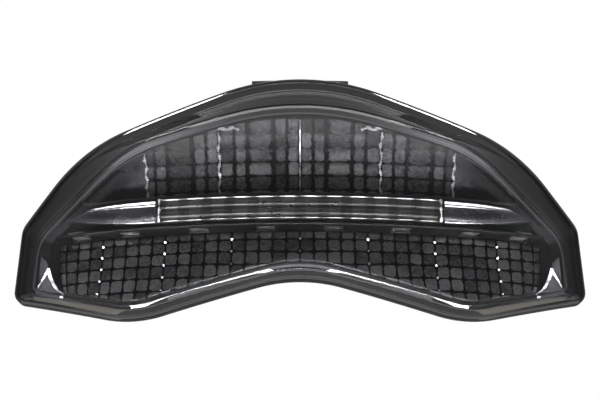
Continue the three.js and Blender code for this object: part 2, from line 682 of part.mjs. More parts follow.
function ventCapGeometry() {
  const y = VENT.face;
  const socket = VENT.bossRadius + GAP;
  return turned([
    [0, y + 3.4], [0, y + GAP], [socket, y + GAP], [socket, y - 2.6],
    [4.9, y - 2.6], [4.9, y + 2.2], [4, y + 3.4],
  ], 20);
}

// ---- Assembly ----

const paint = (color, roughness, metalness) =>
  new THREE.MeshStandardMaterial({ color, roughness, metalness });
const smoked = paint(0x26262a, 0.05, 0);
const black = paint(0x121213, 0.45, 0);
const rubber = paint(0x0b0b0b, 0.8, 0);
const satin = paint(0x35353a, 0.3, 0.4);
const chrome = paint(0xd8d9dc, 0.12, 1);
const mirror = paint(0x9a9b9f, 0.2, 1);
const circuit = paint(0x0d2a18, 0.6, 0);
const emitter = paint(0xe8e4d8, 0.3, 0);
const brass = paint(0xb8964a, 0.35, 1);
const steel = paint(0x9fa2a6, 0.35, 1);
const ceramic = paint(0x1b1b1d, 0.6, 0);
const insulation = paint(0x7a1412, 0.5, 0);

const light = new THREE.Group();

function add(name, geometry, material, place = {}) {
  const mesh = new THREE.Mesh(geometry, material);
  mesh.name = name;
  mesh.position.set(...(place.position ?? [0, 0, 0]));
  mesh.rotation.set(...(place.rotation ?? [0, 0, 0]));
  light.add(mesh);
}

add("lens", lensGeometry(), smoked);
add("rear_housing", housingGeometry(), black);
add("top_bracket", bracketGeometry(), black);
add("lens_seal", sealGeometry(), rubber);
add("centre_bar", barGeometry(), chrome);
add("left_wing", wingGeometry(-1), satin);
add("right_wing", wingGeometry(1), satin);
add("left_corner_trim", cornerTrimGeometry(-1), satin);
add("right_corner_trim", cornerTrimGeometry(1), satin);
add("upper_reflector", upperReflectorGeometry(), mirror);
add("lower_reflector", lowerReflectorGeometry(), mirror);

const upperBoard = crescent(UPPER_BOARD_REACH, BOARD_DEPTHS, [UPPER_BOARD_TOP - BOARD, UPPER_BOARD_TOP]);
const lowerBoardLevels = [LOWER_BOARD_BOTTOM, LOWER_BOARD_BOTTOM + BOARD];
const lowerBoard = crescent(LOWER_BOARD_REACH, BOARD_DEPTHS, lowerBoardLevels);
const carrierHoles = boardHoles([...BOARD_SCREW_X.upper, ...BOARD_SCREW_X.lower]);
add("upper_led_board", cut(upperBoard, boardHoles(BOARD_SCREW_X.upper)), circuit);
add("lower_led_board", cut(lowerBoard, boardHoles(BOARD_SCREW_X.lower)), circuit);
add("board_carrier", cut(carrierGeometry(), carrierHoles), black);

// The upper row of LEDs and screws stands upright on its board, and the lower row hangs upside down.
const boardPlace = (x, z, upright) => ({
  position: [x, seamY(x) - LED_DEPTH, z],
  rotation: upright ? [0, 0, Math.asin(x / WRAP_RADIUS)] : [Math.PI, 0, -Math.asin(x / WRAP_RADIUS)],
});
const boardScrew = () => screwGeometry(1.8, 1.1, 1, 3.4);
UPPER_LED_X.forEach((x, i) => {
  add(`upper_led_${i + 1}`, ledGeometry(), emitter, boardPlace(x, UPPER_BOARD_TOP + 0.1, true));
});
LOWER_LED_X.forEach((x, i) => {
  add(`lower_led_${i + 1}`, ledGeometry(), emitter, boardPlace(x, LOWER_BOARD_BOTTOM - 0.1, false));
});
BOARD_SCREW_X.upper.forEach((x, i) => {
  add(`upper_board_screw_${i + 1}`, boardScrew(), steel, boardPlace(x, UPPER_BOARD_TOP + GAP / 2, true));
});
BOARD_SCREW_X.lower.forEach((x, i) => {
  add(`lower_board_screw_${i + 1}`, boardScrew(), steel, boardPlace(x, LOWER_BOARD_BOTTOM - GAP / 2, false));
});

const driverFront = DRIVER.back - BOARD;
const driverPlate = boxAt(DRIVER.x, DRIVER.back - BOARD / 2, DRIVER.z, DRIVER.width, BOARD, DRIVER.height);
add("driver_board", cut(driverPlate, driverHoles(1.5, -40, 0)), circuit);
[-1, 1].forEach((s, i) => {
  const position = [DRIVER.x + s * DRIVER.screwX, driverFront - GAP / 2, DRIVER.z];
  const screw = screwGeometry(2.2, 1.4, 1.1, 5);
  add(`driver_screw_${i + 1}`, screw, steel, { position, rotation: [Math.PI / 2, 0, 0] });
});
const capacitorSpan = [driverFront - 6.8, driverFront - 0.1];
add("driver_capacitor", cylinderY(DRIVER.x - 7, DRIVER.z + 4, 3.1, ...capacitorSpan, 16), ceramic);
add("driver_regulator", boxAt(DRIVER.x + 2, driverFront - 1.5, DRIVER.z + 3.5, 6.6, 2.6, 6.2), ceramic);
for (let i = 0; i < 3; i++) {
  const resistor = boxAt(DRIVER.x - 6 + i * 6, driverFront - 0.6, DRIVER.z - 3.4, 3.2, 0.9, 1.7);
  add(`driver_resistor_${i + 1}`, resistor, ceramic);
}
add("upper_board_lead", leadGeometry(-38, UPPER_BOARD_TOP - BOARD / 2), insulation);
add("lower_board_lead", leadGeometry(-32, LOWER_BOARD_BOTTOM + BOARD / 2), insulation);

add("cable_grommet", grommetGeometry(), rubber, { position: [INLET.x, 0, INLET.z] });
add("breather_cap", ventCapGeometry(), rubber, { position: [VENT.x, 0, VENT.z] });
[["left", -1], ["right", 1]].forEach(([name, s]) => {
  add(`${name}_mount_insert`, insertGeometry(), brass, { position: [s * PAD.insertX, 0, 0] });
  const position = [s * TAB_HOLE.x, TAB_HOLE.y, TAB.top - TAB.thickness - GAP - 2];
  add(`${name}_tab_nut`, nutGeometry(), steel, { position });
});

export default light;
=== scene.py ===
"""Looks of a wraparound motorcycle tail light: smoked lens, reflectors, fluted bar, black housing."""

import math

import bmesh
import bpy
import numpy as np
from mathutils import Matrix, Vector


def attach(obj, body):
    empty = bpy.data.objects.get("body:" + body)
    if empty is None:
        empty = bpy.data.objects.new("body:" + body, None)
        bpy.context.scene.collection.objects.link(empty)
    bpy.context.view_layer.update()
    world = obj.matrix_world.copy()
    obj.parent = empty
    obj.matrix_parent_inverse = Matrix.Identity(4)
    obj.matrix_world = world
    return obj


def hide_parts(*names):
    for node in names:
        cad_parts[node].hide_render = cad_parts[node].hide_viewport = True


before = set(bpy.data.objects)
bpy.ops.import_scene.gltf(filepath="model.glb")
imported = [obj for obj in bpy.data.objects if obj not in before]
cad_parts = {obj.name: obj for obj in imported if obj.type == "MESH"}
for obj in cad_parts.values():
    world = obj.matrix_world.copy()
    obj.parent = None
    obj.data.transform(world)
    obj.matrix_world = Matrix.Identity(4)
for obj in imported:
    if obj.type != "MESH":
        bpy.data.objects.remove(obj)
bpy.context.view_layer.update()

MM = 0.001

# ---- Driving dimensions in millimetres, the same as the CAD's ----
# A place on the light is x, a depth forward of the seam, and a height z.
WRAP_RADIUS = 220.0
SEAM_CROWN_Y = -38.0
WALL = 2.0
GAP = 0.3
SKIRT_FRONT = 6.4
CREASE_DEPTH = 8.3
CROWN = 2.95  # a hair less than the CAD's, so that the finer mesh stays inside its box
FACE_DEPTH, FACE_FALL, FACE_REACH = 24.5, 10, 107
BACK_DEPTH, BACK_RISE, BACK_REACH = -18, 12.5, 112

# Right halves of closed outlines, from the middle of the top round to the middle of the bottom:
# x, z and fillet radius of each corner.
RIM = [
    (0, 55.5, 99), (87.5, 26.4, 65), (112.6, -3.1, 8),
    (115.1, -32.9, 5), (64.4, -45.3, 47), (0, -27.9, 63),
]
CREASE = [
    (0, 49.4, 94), (87.4, 21.2, 60), (110.8, -7, 8),
    (112.9, -32.2, 4), (64.2, -44.6, 46), (0, -27.4, 62),
]
FACE = [
    (0, 36.1, 120), (66.8, 20.1, 50), (104.2, -10.7, 14),
    (106.4, -32.4, 4), (62.5, -43.4, 30), (0, -28, 55),
]

BAR_TOP, BAR_BOTTOM, BAR_HALF = -0.5, -9.6, 54.0
SHELF_FRONT = 14.5
UPPER_FLOOR, LOWER_CEILING = 1.4, -11.1
UPPER_REACH, LOWER_REACH = 84.0, 95.5
UPPER_RIDGES = [-59.5, -31, 0, 31, 59.5]
LOWER_RIDGES = [-77, -52, -26, 0, 26, 52, 77]
LED_SIZE, LED_DEPTH = 7.0, 7.4
UPPER_LED_X = [-53, -38, -23, -8, 8, 23, 38, 53]
LOWER_LED_X = [-86, -66, -39, -13, 13, 39, 66, 86]

PAD_SIZE = (54, 19.5, 22)
INSERT_X, SOCKET_RADIUS, SOCKET_DEPTH = 18, 3.4, 11
INLET_X, VENT_X, INLET_Z = 46, -46, -14
INLET_FACE, INLET_RADIUS, COLLAR_RADIUS, CABLE_HOLE_RADIUS = -11, 5.6, 8.2, 3.2
VENT_FACE, VENT_BOSS_RADIUS = -12, 3
TAB_HALF, TAB_TOP, TAB_THICKNESS, TAB_BACK = 19.4, 53.8, 3.2, -12
TAB_HOLE_X, TAB_HOLE_Y, TAB_HOLE_RADIUS = 11, -19, 2.75


def seam_y(x):
    return SEAM_CROWN_Y + WRAP_RADIUS - np.sqrt(WRAP_RADIUS**2 - np.square(x))


def bend(x, depth, z):
    """Points drawn flat as (x, depth, z) in millimetres, bent onto the seam's cylinder, in metres."""
    x, depth, z = np.broadcast_arrays(np.asarray(x, float), depth, z)
    return np.stack([x, seam_y(x) - depth, z], axis=-1) * MM


def face_depth(x):
    return FACE_DEPTH - FACE_FALL * (np.abs(x) / FACE_REACH) ** 3


def back_depth(x):
    return BACK_DEPTH + BACK_RISE * (x / BACK_REACH) ** 2


def mix(a, b, t):
    return a + (b - a) * t


# ---- Outlines ----
TOP_STEPS, SIDE_STEPS, FILLET_STEPS = 200, 22, 24
SMALLEST_FILLET = 0.6
UPPER_RIGHT, LOWER_RIGHT, LOWER_LEFT, UPPER_LEFT = 2, 3, 7, 8  # the corners between an outline's sides


def corners(half):
    left = [(-x, z, r) for x, z, r in half[1:-1]][::-1]
    return list(half) + left


def inset(half, by):
    """Every edge of a closed polygon moved inwards, and its fillets with it."""
    ring = corners(half)
    n = len(ring)

    def line(i):
        a, b = np.array(ring[i % n][:2], float), np.array(ring[(i + 1) % n][:2], float)
        d = (b - a) / np.linalg.norm(b - a)
        return a + by * np.array([d[1], -d[0]]), d

    moved = []
    for i, (_, _, r) in enumerate(half):
        (p, d), (q, e) = line(i - 1), line(i)
        cross = d[0] * e[1] - d[1] * e[0]
        t = ((q - p)[0] * e[1] - (q - p)[1] * e[0]) / cross
        x, z = p + d * t
        moved.append((x, z, max(r - by, SMALLEST_FILLET) if cross < 0 else r + by))
    return moved


def outline(half, by=None):
    """Evenly spaced points on an outline or by millimetres inside it, clockwise from the upper left."""
    ring = corners(half if by is None else inset(half, by))
    n = len(ring)
    points, middles = [], {}
    for i in range(n):
        c = np.array(ring[i][:2], float)
        a = np.array(ring[i - 1][:2], float) - c
        b = np.array(ring[(i + 1) % n][:2], float) - c
        a, b = a / np.linalg.norm(a), b / np.linalg.norm(b)
        half_angle = math.acos(np.clip(a @ b, -1, 1)) / 2
        r = ring[i][2]
        centre = c + (a + b) / np.linalg.norm(a + b) * r / math.sin(half_angle)
        start = c + a * r / math.tan(half_angle) - centre
        end = c + b * r / math.tan(half_angle) - centre
        turn = math.atan2(start[0] * end[1] - start[1] * end[0], start @ end)
        middles[i] = len(points) + FILLET_STEPS // 2
        for k in range(FILLET_STEPS + 1):
            t = turn * k / FILLET_STEPS
            sin, cos = math.sin(t), math.cos(t)
            spoke = [start[0] * cos - start[1] * sin, start[0] * sin + start[1] * cos]
            points.append(centre + np.array(spoke))
    points = np.array(points)
    first = middles[UPPER_LEFT]
    order = np.roll(points, -first, axis=0)
    closed = np.vstack([order, order[:1]])
    stops = [(middles[i] - first) % len(points) for i in (UPPER_LEFT, UPPER_RIGHT, LOWER_RIGHT, LOWER_LEFT)]
    stops.append(len(points))
    out = []
    for a, b, steps in zip(stops, stops[1:], (TOP_STEPS, SIDE_STEPS, TOP_STEPS, SIDE_STEPS)):
        run = closed[a : b + 1]
        length = np.concatenate([[0], np.cumsum(np.linalg.norm(np.diff(run, axis=0), axis=1))])
        at = np.linspace(0, length[-1], steps + 1)[:-1]
        out.append(np.stack([np.interp(at, length, run[:, k]) for k in (0, 1)], axis=1))
    return np.vstack(out)


def edge_at(points, x, upper):
    """Height of an outline's upper or lower edge at each x."""
    low = TOP_STEPS + SIDE_STEPS
    chain = points[: TOP_STEPS + 1] if upper else points[low : low + TOP_STEPS + 1][::-1]
    return np.interp(x, chain[:, 0], chain[:, 1])


def patch(points):
    """A grid that fills an outline, its border on the outline's own points, and each point's u and v."""
    n, m = TOP_STEPS, SIDE_STEPS
    top, right = points[: n + 1], points[n : n + m + 1]
    bottom = points[n + m : 2 * n + m + 1][::-1]
    left = np.vstack([points[2 * n + m :], points[:1]])[::-1]
    u = (np.arange(n + 1) / n)[:, None, None]
    v = (np.arange(m + 1) / m)[None, :, None]
    grid = (1 - v) * top[:, None] + v * bottom[:, None] + (1 - u) * left[None] + u * right[None]
    top_corners = (1 - u) * (1 - v) * top[0] + u * (1 - v) * top[-1]
    grid -= top_corners + (1 - u) * v * bottom[0] + u * v * bottom[-1]
    return grid, u[..., 0], v[..., 0]


# ---- Meshes ----
WELD = 2e-6


class Shape:
    """Collects strips and grids of points into one mesh."""

    def __init__(self):
        self.points, self.faces, self.uvs, self.count = [], [], [], 0

    def grid(self, p, uv=None, keep=None):
        """A grid of quads from p[column][row]. keep says which quads stay."""
        a, b = p.shape[:2]
        start = self.count
        self.points.append(p.reshape(-1, 3))
        self.uvs.append(np.zeros((a * b, 2)) if uv is None else uv.reshape(-1, 2))
        self.count += a * b
        i, j = np.meshgrid(np.arange(a - 1), np.arange(b - 1), indexing="ij")
        if keep is not None:
            i, j = i[keep], j[keep]
        i, j = i.ravel(), j.ravel()
        quad = [i * b + j, (i + 1) * b + j, (i + 1) * b + j + 1, i * b + j + 1]
        self.faces.append(start + np.stack(quad, axis=1))
        return self

    def rings(self, rings, closed=False, tone=None):
        """Strips between closed rings of equal size. tone gives each ring's first flow coordinate."""
        p = np.stack([np.vstack([r, r[:1]]) for r in (rings + rings[:1] if closed else rings)], axis=1)
        if tone is None:
            return self.grid(p)
        return self.grid(p, np.broadcast_to(np.array(tone, float)[None, :, None], (*p.shape[:2], 2)))

    def make(self, name, material, sharp=32):
        points, faces, uvs = np.vstack(self.points), np.vstack(self.faces), np.vstack(self.uvs)
        mesh = bpy.data.meshes.new(name)
        mesh.from_pydata(points.tolist(), [], faces.tolist())
        layer = mesh.uv_layers.new(name="flow")
        index = np.empty(len(mesh.loops), dtype=np.int32)
        mesh.loops.foreach_get("vertex_index", index)
        layer.data.foreach_set("uv", uvs[index].ravel().astype(np.float32))
        work = bmesh.new()
        work.from_mesh(mesh)
        bmesh.ops.remove_doubles(work, verts=work.verts, dist=WELD)
        bmesh.ops.dissolve_degenerate(work, edges=work.edges, dist=WELD)
        closed_up(work, mesh)
        return finished(linked(name, mesh), material, sharp)


def closed_up(work, mesh):
    """Turns the faces outwards and writes the working mesh back."""
    bmesh.ops.recalc_face_normals(work, faces=work.faces)
    work.to_mesh(mesh)
    work.free()


def linked(name, mesh):
    ob = bpy.data.objects.new(name, mesh)
    bpy.context.scene.collection.objects.link(ob)
    return ob


def finished(ob, material, sharp=32):
    ob.data.materials.clear()
    ob.data.materials.append(material)
    ob.data.polygons.foreach_set("use_smooth", [True] * len(ob.data.polygons))
    ob.data.set_sharp_from_angle(angle=math.radians(sharp))
    return ob


def ride(ob, *nodes, slot):
    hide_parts(*nodes)
    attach(ob, "root")


def ring(points, depth):
    return bend(points[:, 0], depth(points[:, 0]) if callable(depth) else depth, points[:, 1])


def lathe(name, profile, origin, material, steps=64):
    """A closed profile of (radius, y) pairs in millimetres, turned round the Y axis through origin."""
    turn = np.linspace(0, 2 * math.pi, steps + 1)
    rows = []
    for r, y in list(profile) + [profile[0]]:
        rows.append(np.stack([r * np.cos(turn), np.full_like(turn, y), r * np.sin(turn)], axis=-1))
    p = (np.stack(rows, axis=1) + np.array(origin)) * MM
    return Shape().grid(p).make(name, material, 30)


def block(name, size, at, bevel, segments=4):
    """A rounded block, in millimetres."""
    mesh = bpy.data.meshes.new(name)
    work = bmesh.new()
    bmesh.ops.create_cube(work, size=1)
    for v in work.verts:
        v.co = Vector([c * s + a for c, s, a in zip(v.co, size, at)]) * MM
    edges = {"geom": work.edges, "affect": "EDGES"}
    bmesh.ops.bevel(work, offset=bevel * MM, segments=segments, profile=0.5, **edges)
    closed_up(work, mesh)
    return linked(name, mesh)


def solid(name, points, faces):
    """A closed mesh from points in millimetres, to be joined or cut with."""
    mesh = bpy.data.meshes.new(name)
    mesh.from_pydata([tuple(c * MM for c in p) for p in points], [], faces)
    work = bmesh.new()
    work.from_mesh(mesh)
    closed_up(work, mesh)
    return linked(name, mesh)


def rod(name, radius, start, end, x, other, axis="Y", steps=48):
    """A round bar to be joined or cut with, along Y (other is its z) or along Z (other is its y)."""
    points = []
    for h in (start, end):
        for t in np.linspace(0, 2 * math.pi, steps + 1)[:-1]:
            a, b = x + radius * math.cos(t), other + radius * math.sin(t)
            points.append((a, h, b) if axis == "Y" else (a, b, h))
    faces = [(i, (i + 1) % steps, steps + (i + 1) % steps, steps + i) for i in range(steps)]
    faces += [tuple(range(steps)), tuple(range(steps, 2 * steps))]
    return solid(name, points, faces)


def boolean(ob, tools, operation):
    """Joins or cuts with each tool in turn, and applies the result to ob's mesh."""
    for tool in tools:
        m = ob.modifiers.new("shape", "BOOLEAN")
        m.operation, m.object, m.solver = operation, tool, "EXACT"
        dg = bpy.context.evaluated_depsgraph_get()
        mesh = bpy.data.meshes.new_from_object(ob.evaluated_get(dg))
        ob.modifiers.clear()
        ob.data = mesh
        bpy.data.objects.remove(tool)
    return ob


# ---- Materials ----
class Nodes:
    """A short way to write the node tree of a new material, or of a world."""

    def __init__(self, name, world=None):
        self.owner = world or bpy.data.materials.new(name)
        self.owner.use_nodes = True
        self.tree = self.owner.node_tree
        self.tree.nodes.clear()
        self.out = self.node("OutputWorld" if world else "OutputMaterial")

    def node(self, kind, inputs=None, **settings):
        n = self.tree.nodes.new(f"ShaderNode{kind}")
        for key, value in settings.items():
            setattr(n, key, value)
        for key, value in (inputs or {}).items():
            if isinstance(value, bpy.types.NodeSocket):
                self.tree.links.new(value, n.inputs[key])
            else:
                n.inputs[key].default_value = value
        return n

    def math(self, operation, a, b=0.0, clamp=False):
        return self.node("Math", {0: a, 1: b}, operation=operation, use_clamp=clamp).outputs[0]

    def mix_colours(self, factor, a, b, blend="MIX"):
        inputs = {0: factor, 6: a, 7: b}
        return self.node("Mix", inputs, data_type="RGBA", blend_type=blend).outputs[2]

    def position(self):
        return self.node("NewGeometry").outputs["Position"]

    def flow(self):
        return self.node("UVMap", uv_map="flow").outputs["UV"]

    def noise(self, scale, detail=3.0, rough=0.5, vector=None):
        n = self.node("TexNoise", {"Scale": scale, "Detail": detail, "Roughness": rough})
        self.tree.links.new(vector or self.position(), n.inputs["Vector"])
        return n.outputs["Fac"]

    def ramp(self, value, stops):
        n = self.node("ValToRGB", {"Fac": value})
        ramp = n.color_ramp
        while len(ramp.elements) < len(stops):
            ramp.elements.new(0.5)
        for element, (at, colour) in zip(ramp.elements, stops):
            element.position = at
            element.color = (colour, colour, colour, 1) if isinstance(colour, float) else (*colour, 1)
        return n.outputs["Color"]

    def bump(self, height, strength, distance):
        inputs = {"Height": height, "Strength": strength, "Distance": distance}
        return self.node("Bump", inputs).outputs["Normal"]

    def shader(self, **inputs):
        names = {k.replace("_", " "): v for k, v in inputs.items()}
        return self.node("BsdfPrincipled", names).outputs["BSDF"]

    def surface(self, shader):
        self.tree.links.new(shader, self.out.inputs["Surface"])
        return self.owner


def smoked_lens_material():
    """Smoked acrylic, its tint painted darker towards the rim as painted shade for the longer path of light
    through the slanted walls. Shadow rays pass through, so lamps light the inside.
    """
    n = Nodes("smoked_lens")
    where = n.node("SeparateXYZ", {0: n.flow()}).outputs[0]
    # painted shade: the tint darkens from the face (flow 1) to the rim (flow 0), for the light's longer way
    # through the walls
    tint_with_painted_rim_shade = n.ramp(where, [(0.0, (0.05, 0.05, 0.054)), (0.5, (0.17, 0.17, 0.18)), (1.0, (0.47, 0.47, 0.48))])
    rough = n.ramp(n.noise(38, 4), [(0.35, 0.0), (0.7, 0.03)])
    ripple = n.bump(n.noise(95, 2), n.math("MULTIPLY", where, 0.04), 0.0004)
    glass = n.shader(Base_Color=tint_with_painted_rim_shade, Roughness=rough, IOR=1.49, Transmission_Weight=1.0, Normal=ripple)
    clear = n.node("BsdfTransparent", {"Color": (0.90, 0.90, 0.91, 1)}).outputs[0]
    shadow = n.node("LightPath").outputs["Is Shadow Ray"]
    return n.surface(n.node("MixShader", {0: shadow, 1: glass, 2: clear}).outputs[0])


def moulded_material(name, dark, light, grain=2600, rough=(0.42, 0.6), strength=0.25):
    """Moulded plastic with a fine spark-eroded grain and faint handling marks."""
    n = Nodes(name)
    colour = n.ramp(n.noise(22, 4), [(0.3, dark), (0.75, light)])
    roughness = n.ramp(n.noise(160, 5, 0.65), [(0.3, rough[0]), (0.7, rough[1])])
    normal = n.bump(n.noise(grain, 2), strength, 0.00008)
    shader = n.shader(Base_Color=colour, Roughness=roughness, Normal=normal, Specular_IOR_Level=0.5)
    return n.surface(shader)


def metallised_material(name, dark, light, rough, metallic=1.0, pitch=None):
    """Vacuum-metallised plastic: slightly uneven, with small pits. pitch spaces darker blocks of painted
    shade along x, for prism facets that catch less light.
    """
    n = Nodes(name)
    colour = n.ramp(n.noise(60, 4), [(0.3, dark), (0.7, light)])
    if pitch:
        along = n.node("SeparateXYZ", {0: n.position()}).outputs[0]
        # painted shade: stretches of pitch along x are darkened, for the bar's prisms catching the light
        # unevenly
        block = n.math("PINGPONG", n.math("ADD", along, 10 * pitch), pitch)
        stops = [(0.38, (0.62, 0.62, 0.6)), (0.55, (1.0, 1.0, 0.99))]
        colour = n.mix_colours(1.0, colour, n.ramp(n.math("DIVIDE", block, pitch), stops), "MULTIPLY")
    roughness = n.ramp(n.noise(420, 3), [(0.3, rough[0]), (0.75, rough[1])])
    normal = n.bump(n.noise(330, 2), 0.12, 0.00025)
    return n.surface(n.shader(Base_Color=colour, Metallic=metallic, Roughness=roughness, Normal=normal))


def reflector_material(name, lift, powers, edge, shine, faint_from=99.0):
    """Metallised cells, counted by the flow coordinates, with painted shade in the grooves between them. The
    painted shade between rows fades from faint_from up.
    """
    n = Nodes(name)
    flow = n.flow()
    parts = n.node("SeparateXYZ", {0: flow})
    sides = []
    for k in (0, 1):
        share = n.math("FRACT", parts.outputs[k])
        off = n.math("ABSOLUTE", n.math("SUBTRACT", n.math("MULTIPLY", share, 2.0), 1.0))
        sides.append(n.math("POWER", off, powers[k]))
    above = n.math("SUBTRACT", parts.outputs[1], faint_from)
    fade = n.math("SUBTRACT", 1.0, n.math("MULTIPLY", above, 0.6), clamp=True)
    sides[1] = n.math("MULTIPLY", sides[1], n.math("MAXIMUM", fade, 0.3))
    corner = n.math("MULTIPLY", n.math("MULTIPLY", *sides), 3.0)
    reach = n.math("ADD", n.math("ADD", *sides), corner)
    ragged = n.math("MULTIPLY", n.math("SUBTRACT", n.noise(560, 4, 0.65), 0.5), 1.5)
    mask = n.ramp(n.math("ADD", reach, ragged), [(edge, 1.0), (min(edge + 0.14, 1.0), 0.0)])
    number = n.node("VectorMath", {0: flow}, operation="FLOOR").outputs[0]
    cell = n.node("TexWhiteNoise", {"Vector": number}, noise_dimensions="2D").outputs["Value"]
    tone = n.math("ADD", n.math("MULTIPLY", cell, 0.2), n.math("MULTIPLY", n.noise(150, 4), 0.3))
    tone = n.math("ADD", tone, n.math("MULTIPLY", n.noise(1100, 3, 0.7), 0.5))
    bright = n.ramp(tone, [(0.38, lift * 0.15), (0.60, lift)])
    # painted shade: near-black, without specular, in the grooves between cells, where the creases lie in
    # shade
    colour = n.mix_colours(mask, (0.010, 0.010, 0.011, 1), bright)
    roughness = n.ramp(n.noise(640, 3), [(0.3, 0.26), (0.7, 0.5)])
    normal = n.bump(n.noise(520, 3), 0.75, 0.0005)
    gloss = {"Metallic": 0.25, "Specular_IOR_Level": n.math("MULTIPLY", mask, shine)}
    return n.surface(n.shader(Base_Color=colour, Roughness=roughness, Normal=normal, **gloss))


def circuit_material():
    """Green solder mask over faint copper tracks."""
    n = Nodes("circuit_board")
    bricks = {
        "Vector": n.position(), "Scale": 260.0, "Mortar Size": 0.03, "Mortar": (0.02, 0.05, 0.028, 1),
        "Color1": (0.006, 0.014, 0.009, 1), "Color2": (0.009, 0.020, 0.013, 1),
    }
    tracks = n.node("TexBrick", bricks).outputs["Color"]
    rough = n.ramp(n.noise(300, 3), [(0.3, 0.3), (0.7, 0.5)])
    normal = n.bump(n.noise(900, 3), 0.2, 0.0001)
    return n.surface(n.shader(Base_Color=tracks, Roughness=rough, Normal=normal))


def led_material():
    """Pale package under a glossy dome."""
    n = Nodes("led")
    colour = n.ramp(n.noise(700, 3), [(0.35, (0.32, 0.315, 0.29)), (0.7, (0.40, 0.395, 0.37))])
    rough = n.ramp(n.noise(900, 2), [(0.3, 0.22), (0.7, 0.4)])
    return n.surface(n.shader(Base_Color=colour, Roughness=rough, Coat_Weight=0.6, Coat_Roughness=0.08))


def metal_material(name, dark, light, rough, grain):
    """Plated or turned metal with a fine directional grain."""
    n = Nodes(name)
    place = n.node("Mapping", {"Vector": n.position(), "Scale": (1, 1, 14)}).outputs[0]
    streak = n.noise(grain, 4, 0.6, place)
    colour = n.ramp(streak, [(0.3, dark), (0.7, light)])
    roughness = n.ramp(n.noise(grain * 0.7, 3), [(0.3, rough), (0.8, rough + 0.16)])
    normal = n.bump(streak, 0.15, 0.00006)
    return n.surface(n.shader(Base_Color=colour, Metallic=1.0, Roughness=roughness, Normal=normal))


PRISM_PITCH = 4.4  # of the prisms along the bar, and of the darker blocks of painted shade on them

lens_mat = smoked_lens_material()
housing_mat = moulded_material("black_housing", (0.012, 0.012, 0.013), (0.022, 0.022, 0.024))
shelf_mat = moulded_material(
    "shelf_black", (0.010, 0.010, 0.011), (0.024, 0.024, 0.027), 2400, (0.3, 0.5), 0.2)
corner_mat = moulded_material("corner_trim", (0.20, 0.20, 0.21), (0.27, 0.27, 0.28), 3200, (0.18, 0.3), 0.1)
rubber_mat = moulded_material("rubber", (0.01, 0.01, 0.01), (0.02, 0.02, 0.02), 1800, (0.65, 0.85), 0.4)
bar_mat = metallised_material(
    "bright_trim", (0.11, 0.11, 0.105), (0.21, 0.21, 0.20), (0.26, 0.38), 0.85, PRISM_PITCH * MM)
wing_mat = metallised_material("satin_trim", (0.12, 0.12, 0.125), (0.20, 0.20, 0.21), (0.2, 0.3), 0.8)
# painted highlight: near-white, for the strips and glints on the bar, wings, corner facets and reflector
# ridges, on top of the low lamp's real reflection in them
painted_highlight_mat = metallised_material("painted_highlight_white", (0.92, 0.92, 0.93), (0.99, 0.99, 1.0), (0.10, 0.18), 0.8)
upper_mat = reflector_material("upper_cells", 0.115, (2.6, 9.0), 0.42, 0.2, 2.6)
lower_mat = reflector_material("lower_cells", 0.22, (5.5, 5.5), 0.36, 0.4)
smooth_mat = metallised_material("reflector_plain", (0.07, 0.07, 0.075), (0.11, 0.11, 0.12), (0.24, 0.36))
circuit_mat = circuit_material()
led_mat = led_material()
steel_mat = metal_material("zinc_steel", (0.42, 0.43, 0.45), (0.62, 0.63, 0.66), 0.28, 420)
brass_mat = metal_material("brass", (0.50, 0.36, 0.15), (0.66, 0.49, 0.24), 0.26, 500)
ceramic_mat = moulded_material(
    "component_black", (0.018, 0.018, 0.020), (0.040, 0.040, 0.045), 2200, (0.4, 0.6))
lead_mat = moulded_material(
    "lead_insulation", (0.16, 0.008, 0.006), (0.26, 0.014, 0.010), 1500, (0.35, 0.5), 0.15)


# ---- Lens ----
# The rounded edge of the face: distance in from the face's outline, and depth below the face.
SHOULDER_TURN = [
    (0.95, 0.03), (0.75, 0.10), (0.6, 0.17), (0.5, 0.23),
    (-0.42, 0.80), (-0.52, 0.87), (-0.7, 1.1), (-0.84, 1.55),
]
SHOULDER_OUT, SHOULDER_DROP = 0.9, 2.2
FLAT_REACH, FLAT_SHARE, FLAT_DROP = 11, 0.36, 1.2  # the turn is flatter in the middle of the lower edge
# The fold at the side wall's foot: distance in from the crease, depth beside a ledge, and depth without one.
CREASE_FOLD = [
    (0.0, 8.5, 8.5), (-0.04, 8.46, 8.35), (-0.08, 8.43, 8.2), (-0.34, 8.29, 7.2), (-0.4, 8.26, 7.0),
]
# From the ledge over a narrow facet to the skirt: distance in from the rim, and depth.
RIM_TURN = [
    (2.4, 8.2), (2.2, 8.14), (2.12, 8.09), (2.05, 8.04),
    (1.4, 7.53), (1.34, 7.47), (1.28, 7.4), (0.1, 6.13),
]
RIM_TURN_STEEP = (6.0, 0.43)  # without a ledge: depth of the turn's foot, and share of its rise that stays
RIM_TURN_ROOM = 2.7
LEDGE_NARROWEST = 0.4
SKIRT_DEPTHS, SKIRT_END, SKIRT_END_INSET = (5.9, 2.6, -0.8), -1, 0.25
# The rounded inner corner behind the face: distance in from the face's outline, and depth below the face.
INNER_CORNER = [(2.4, 3.1), (3.2, 2.65), (4.2, 2.4), (5.0, 2.3)]
FACE_INSET, INNER_INSET = 1.4, 5.0


def crown_grid(half, by, less):
    grid, u, v = patch(outline(half, by))
    rise = CROWN * (1 - (2 * v - 1) ** 2) * (1 - np.abs(2 * u - 1) ** 8)
    x = grid[..., 0]
    return bend(x, face_depth(x) + rise - less, grid[..., 1])


def wall_depth(share, less):
    """Depth of the side wall, from the crease (share = 0) to the shoulder (share = 1)."""
    return lambda x: CREASE_DEPTH + (face_depth(x) - SHOULDER_DROP - CREASE_DEPTH) * share - less


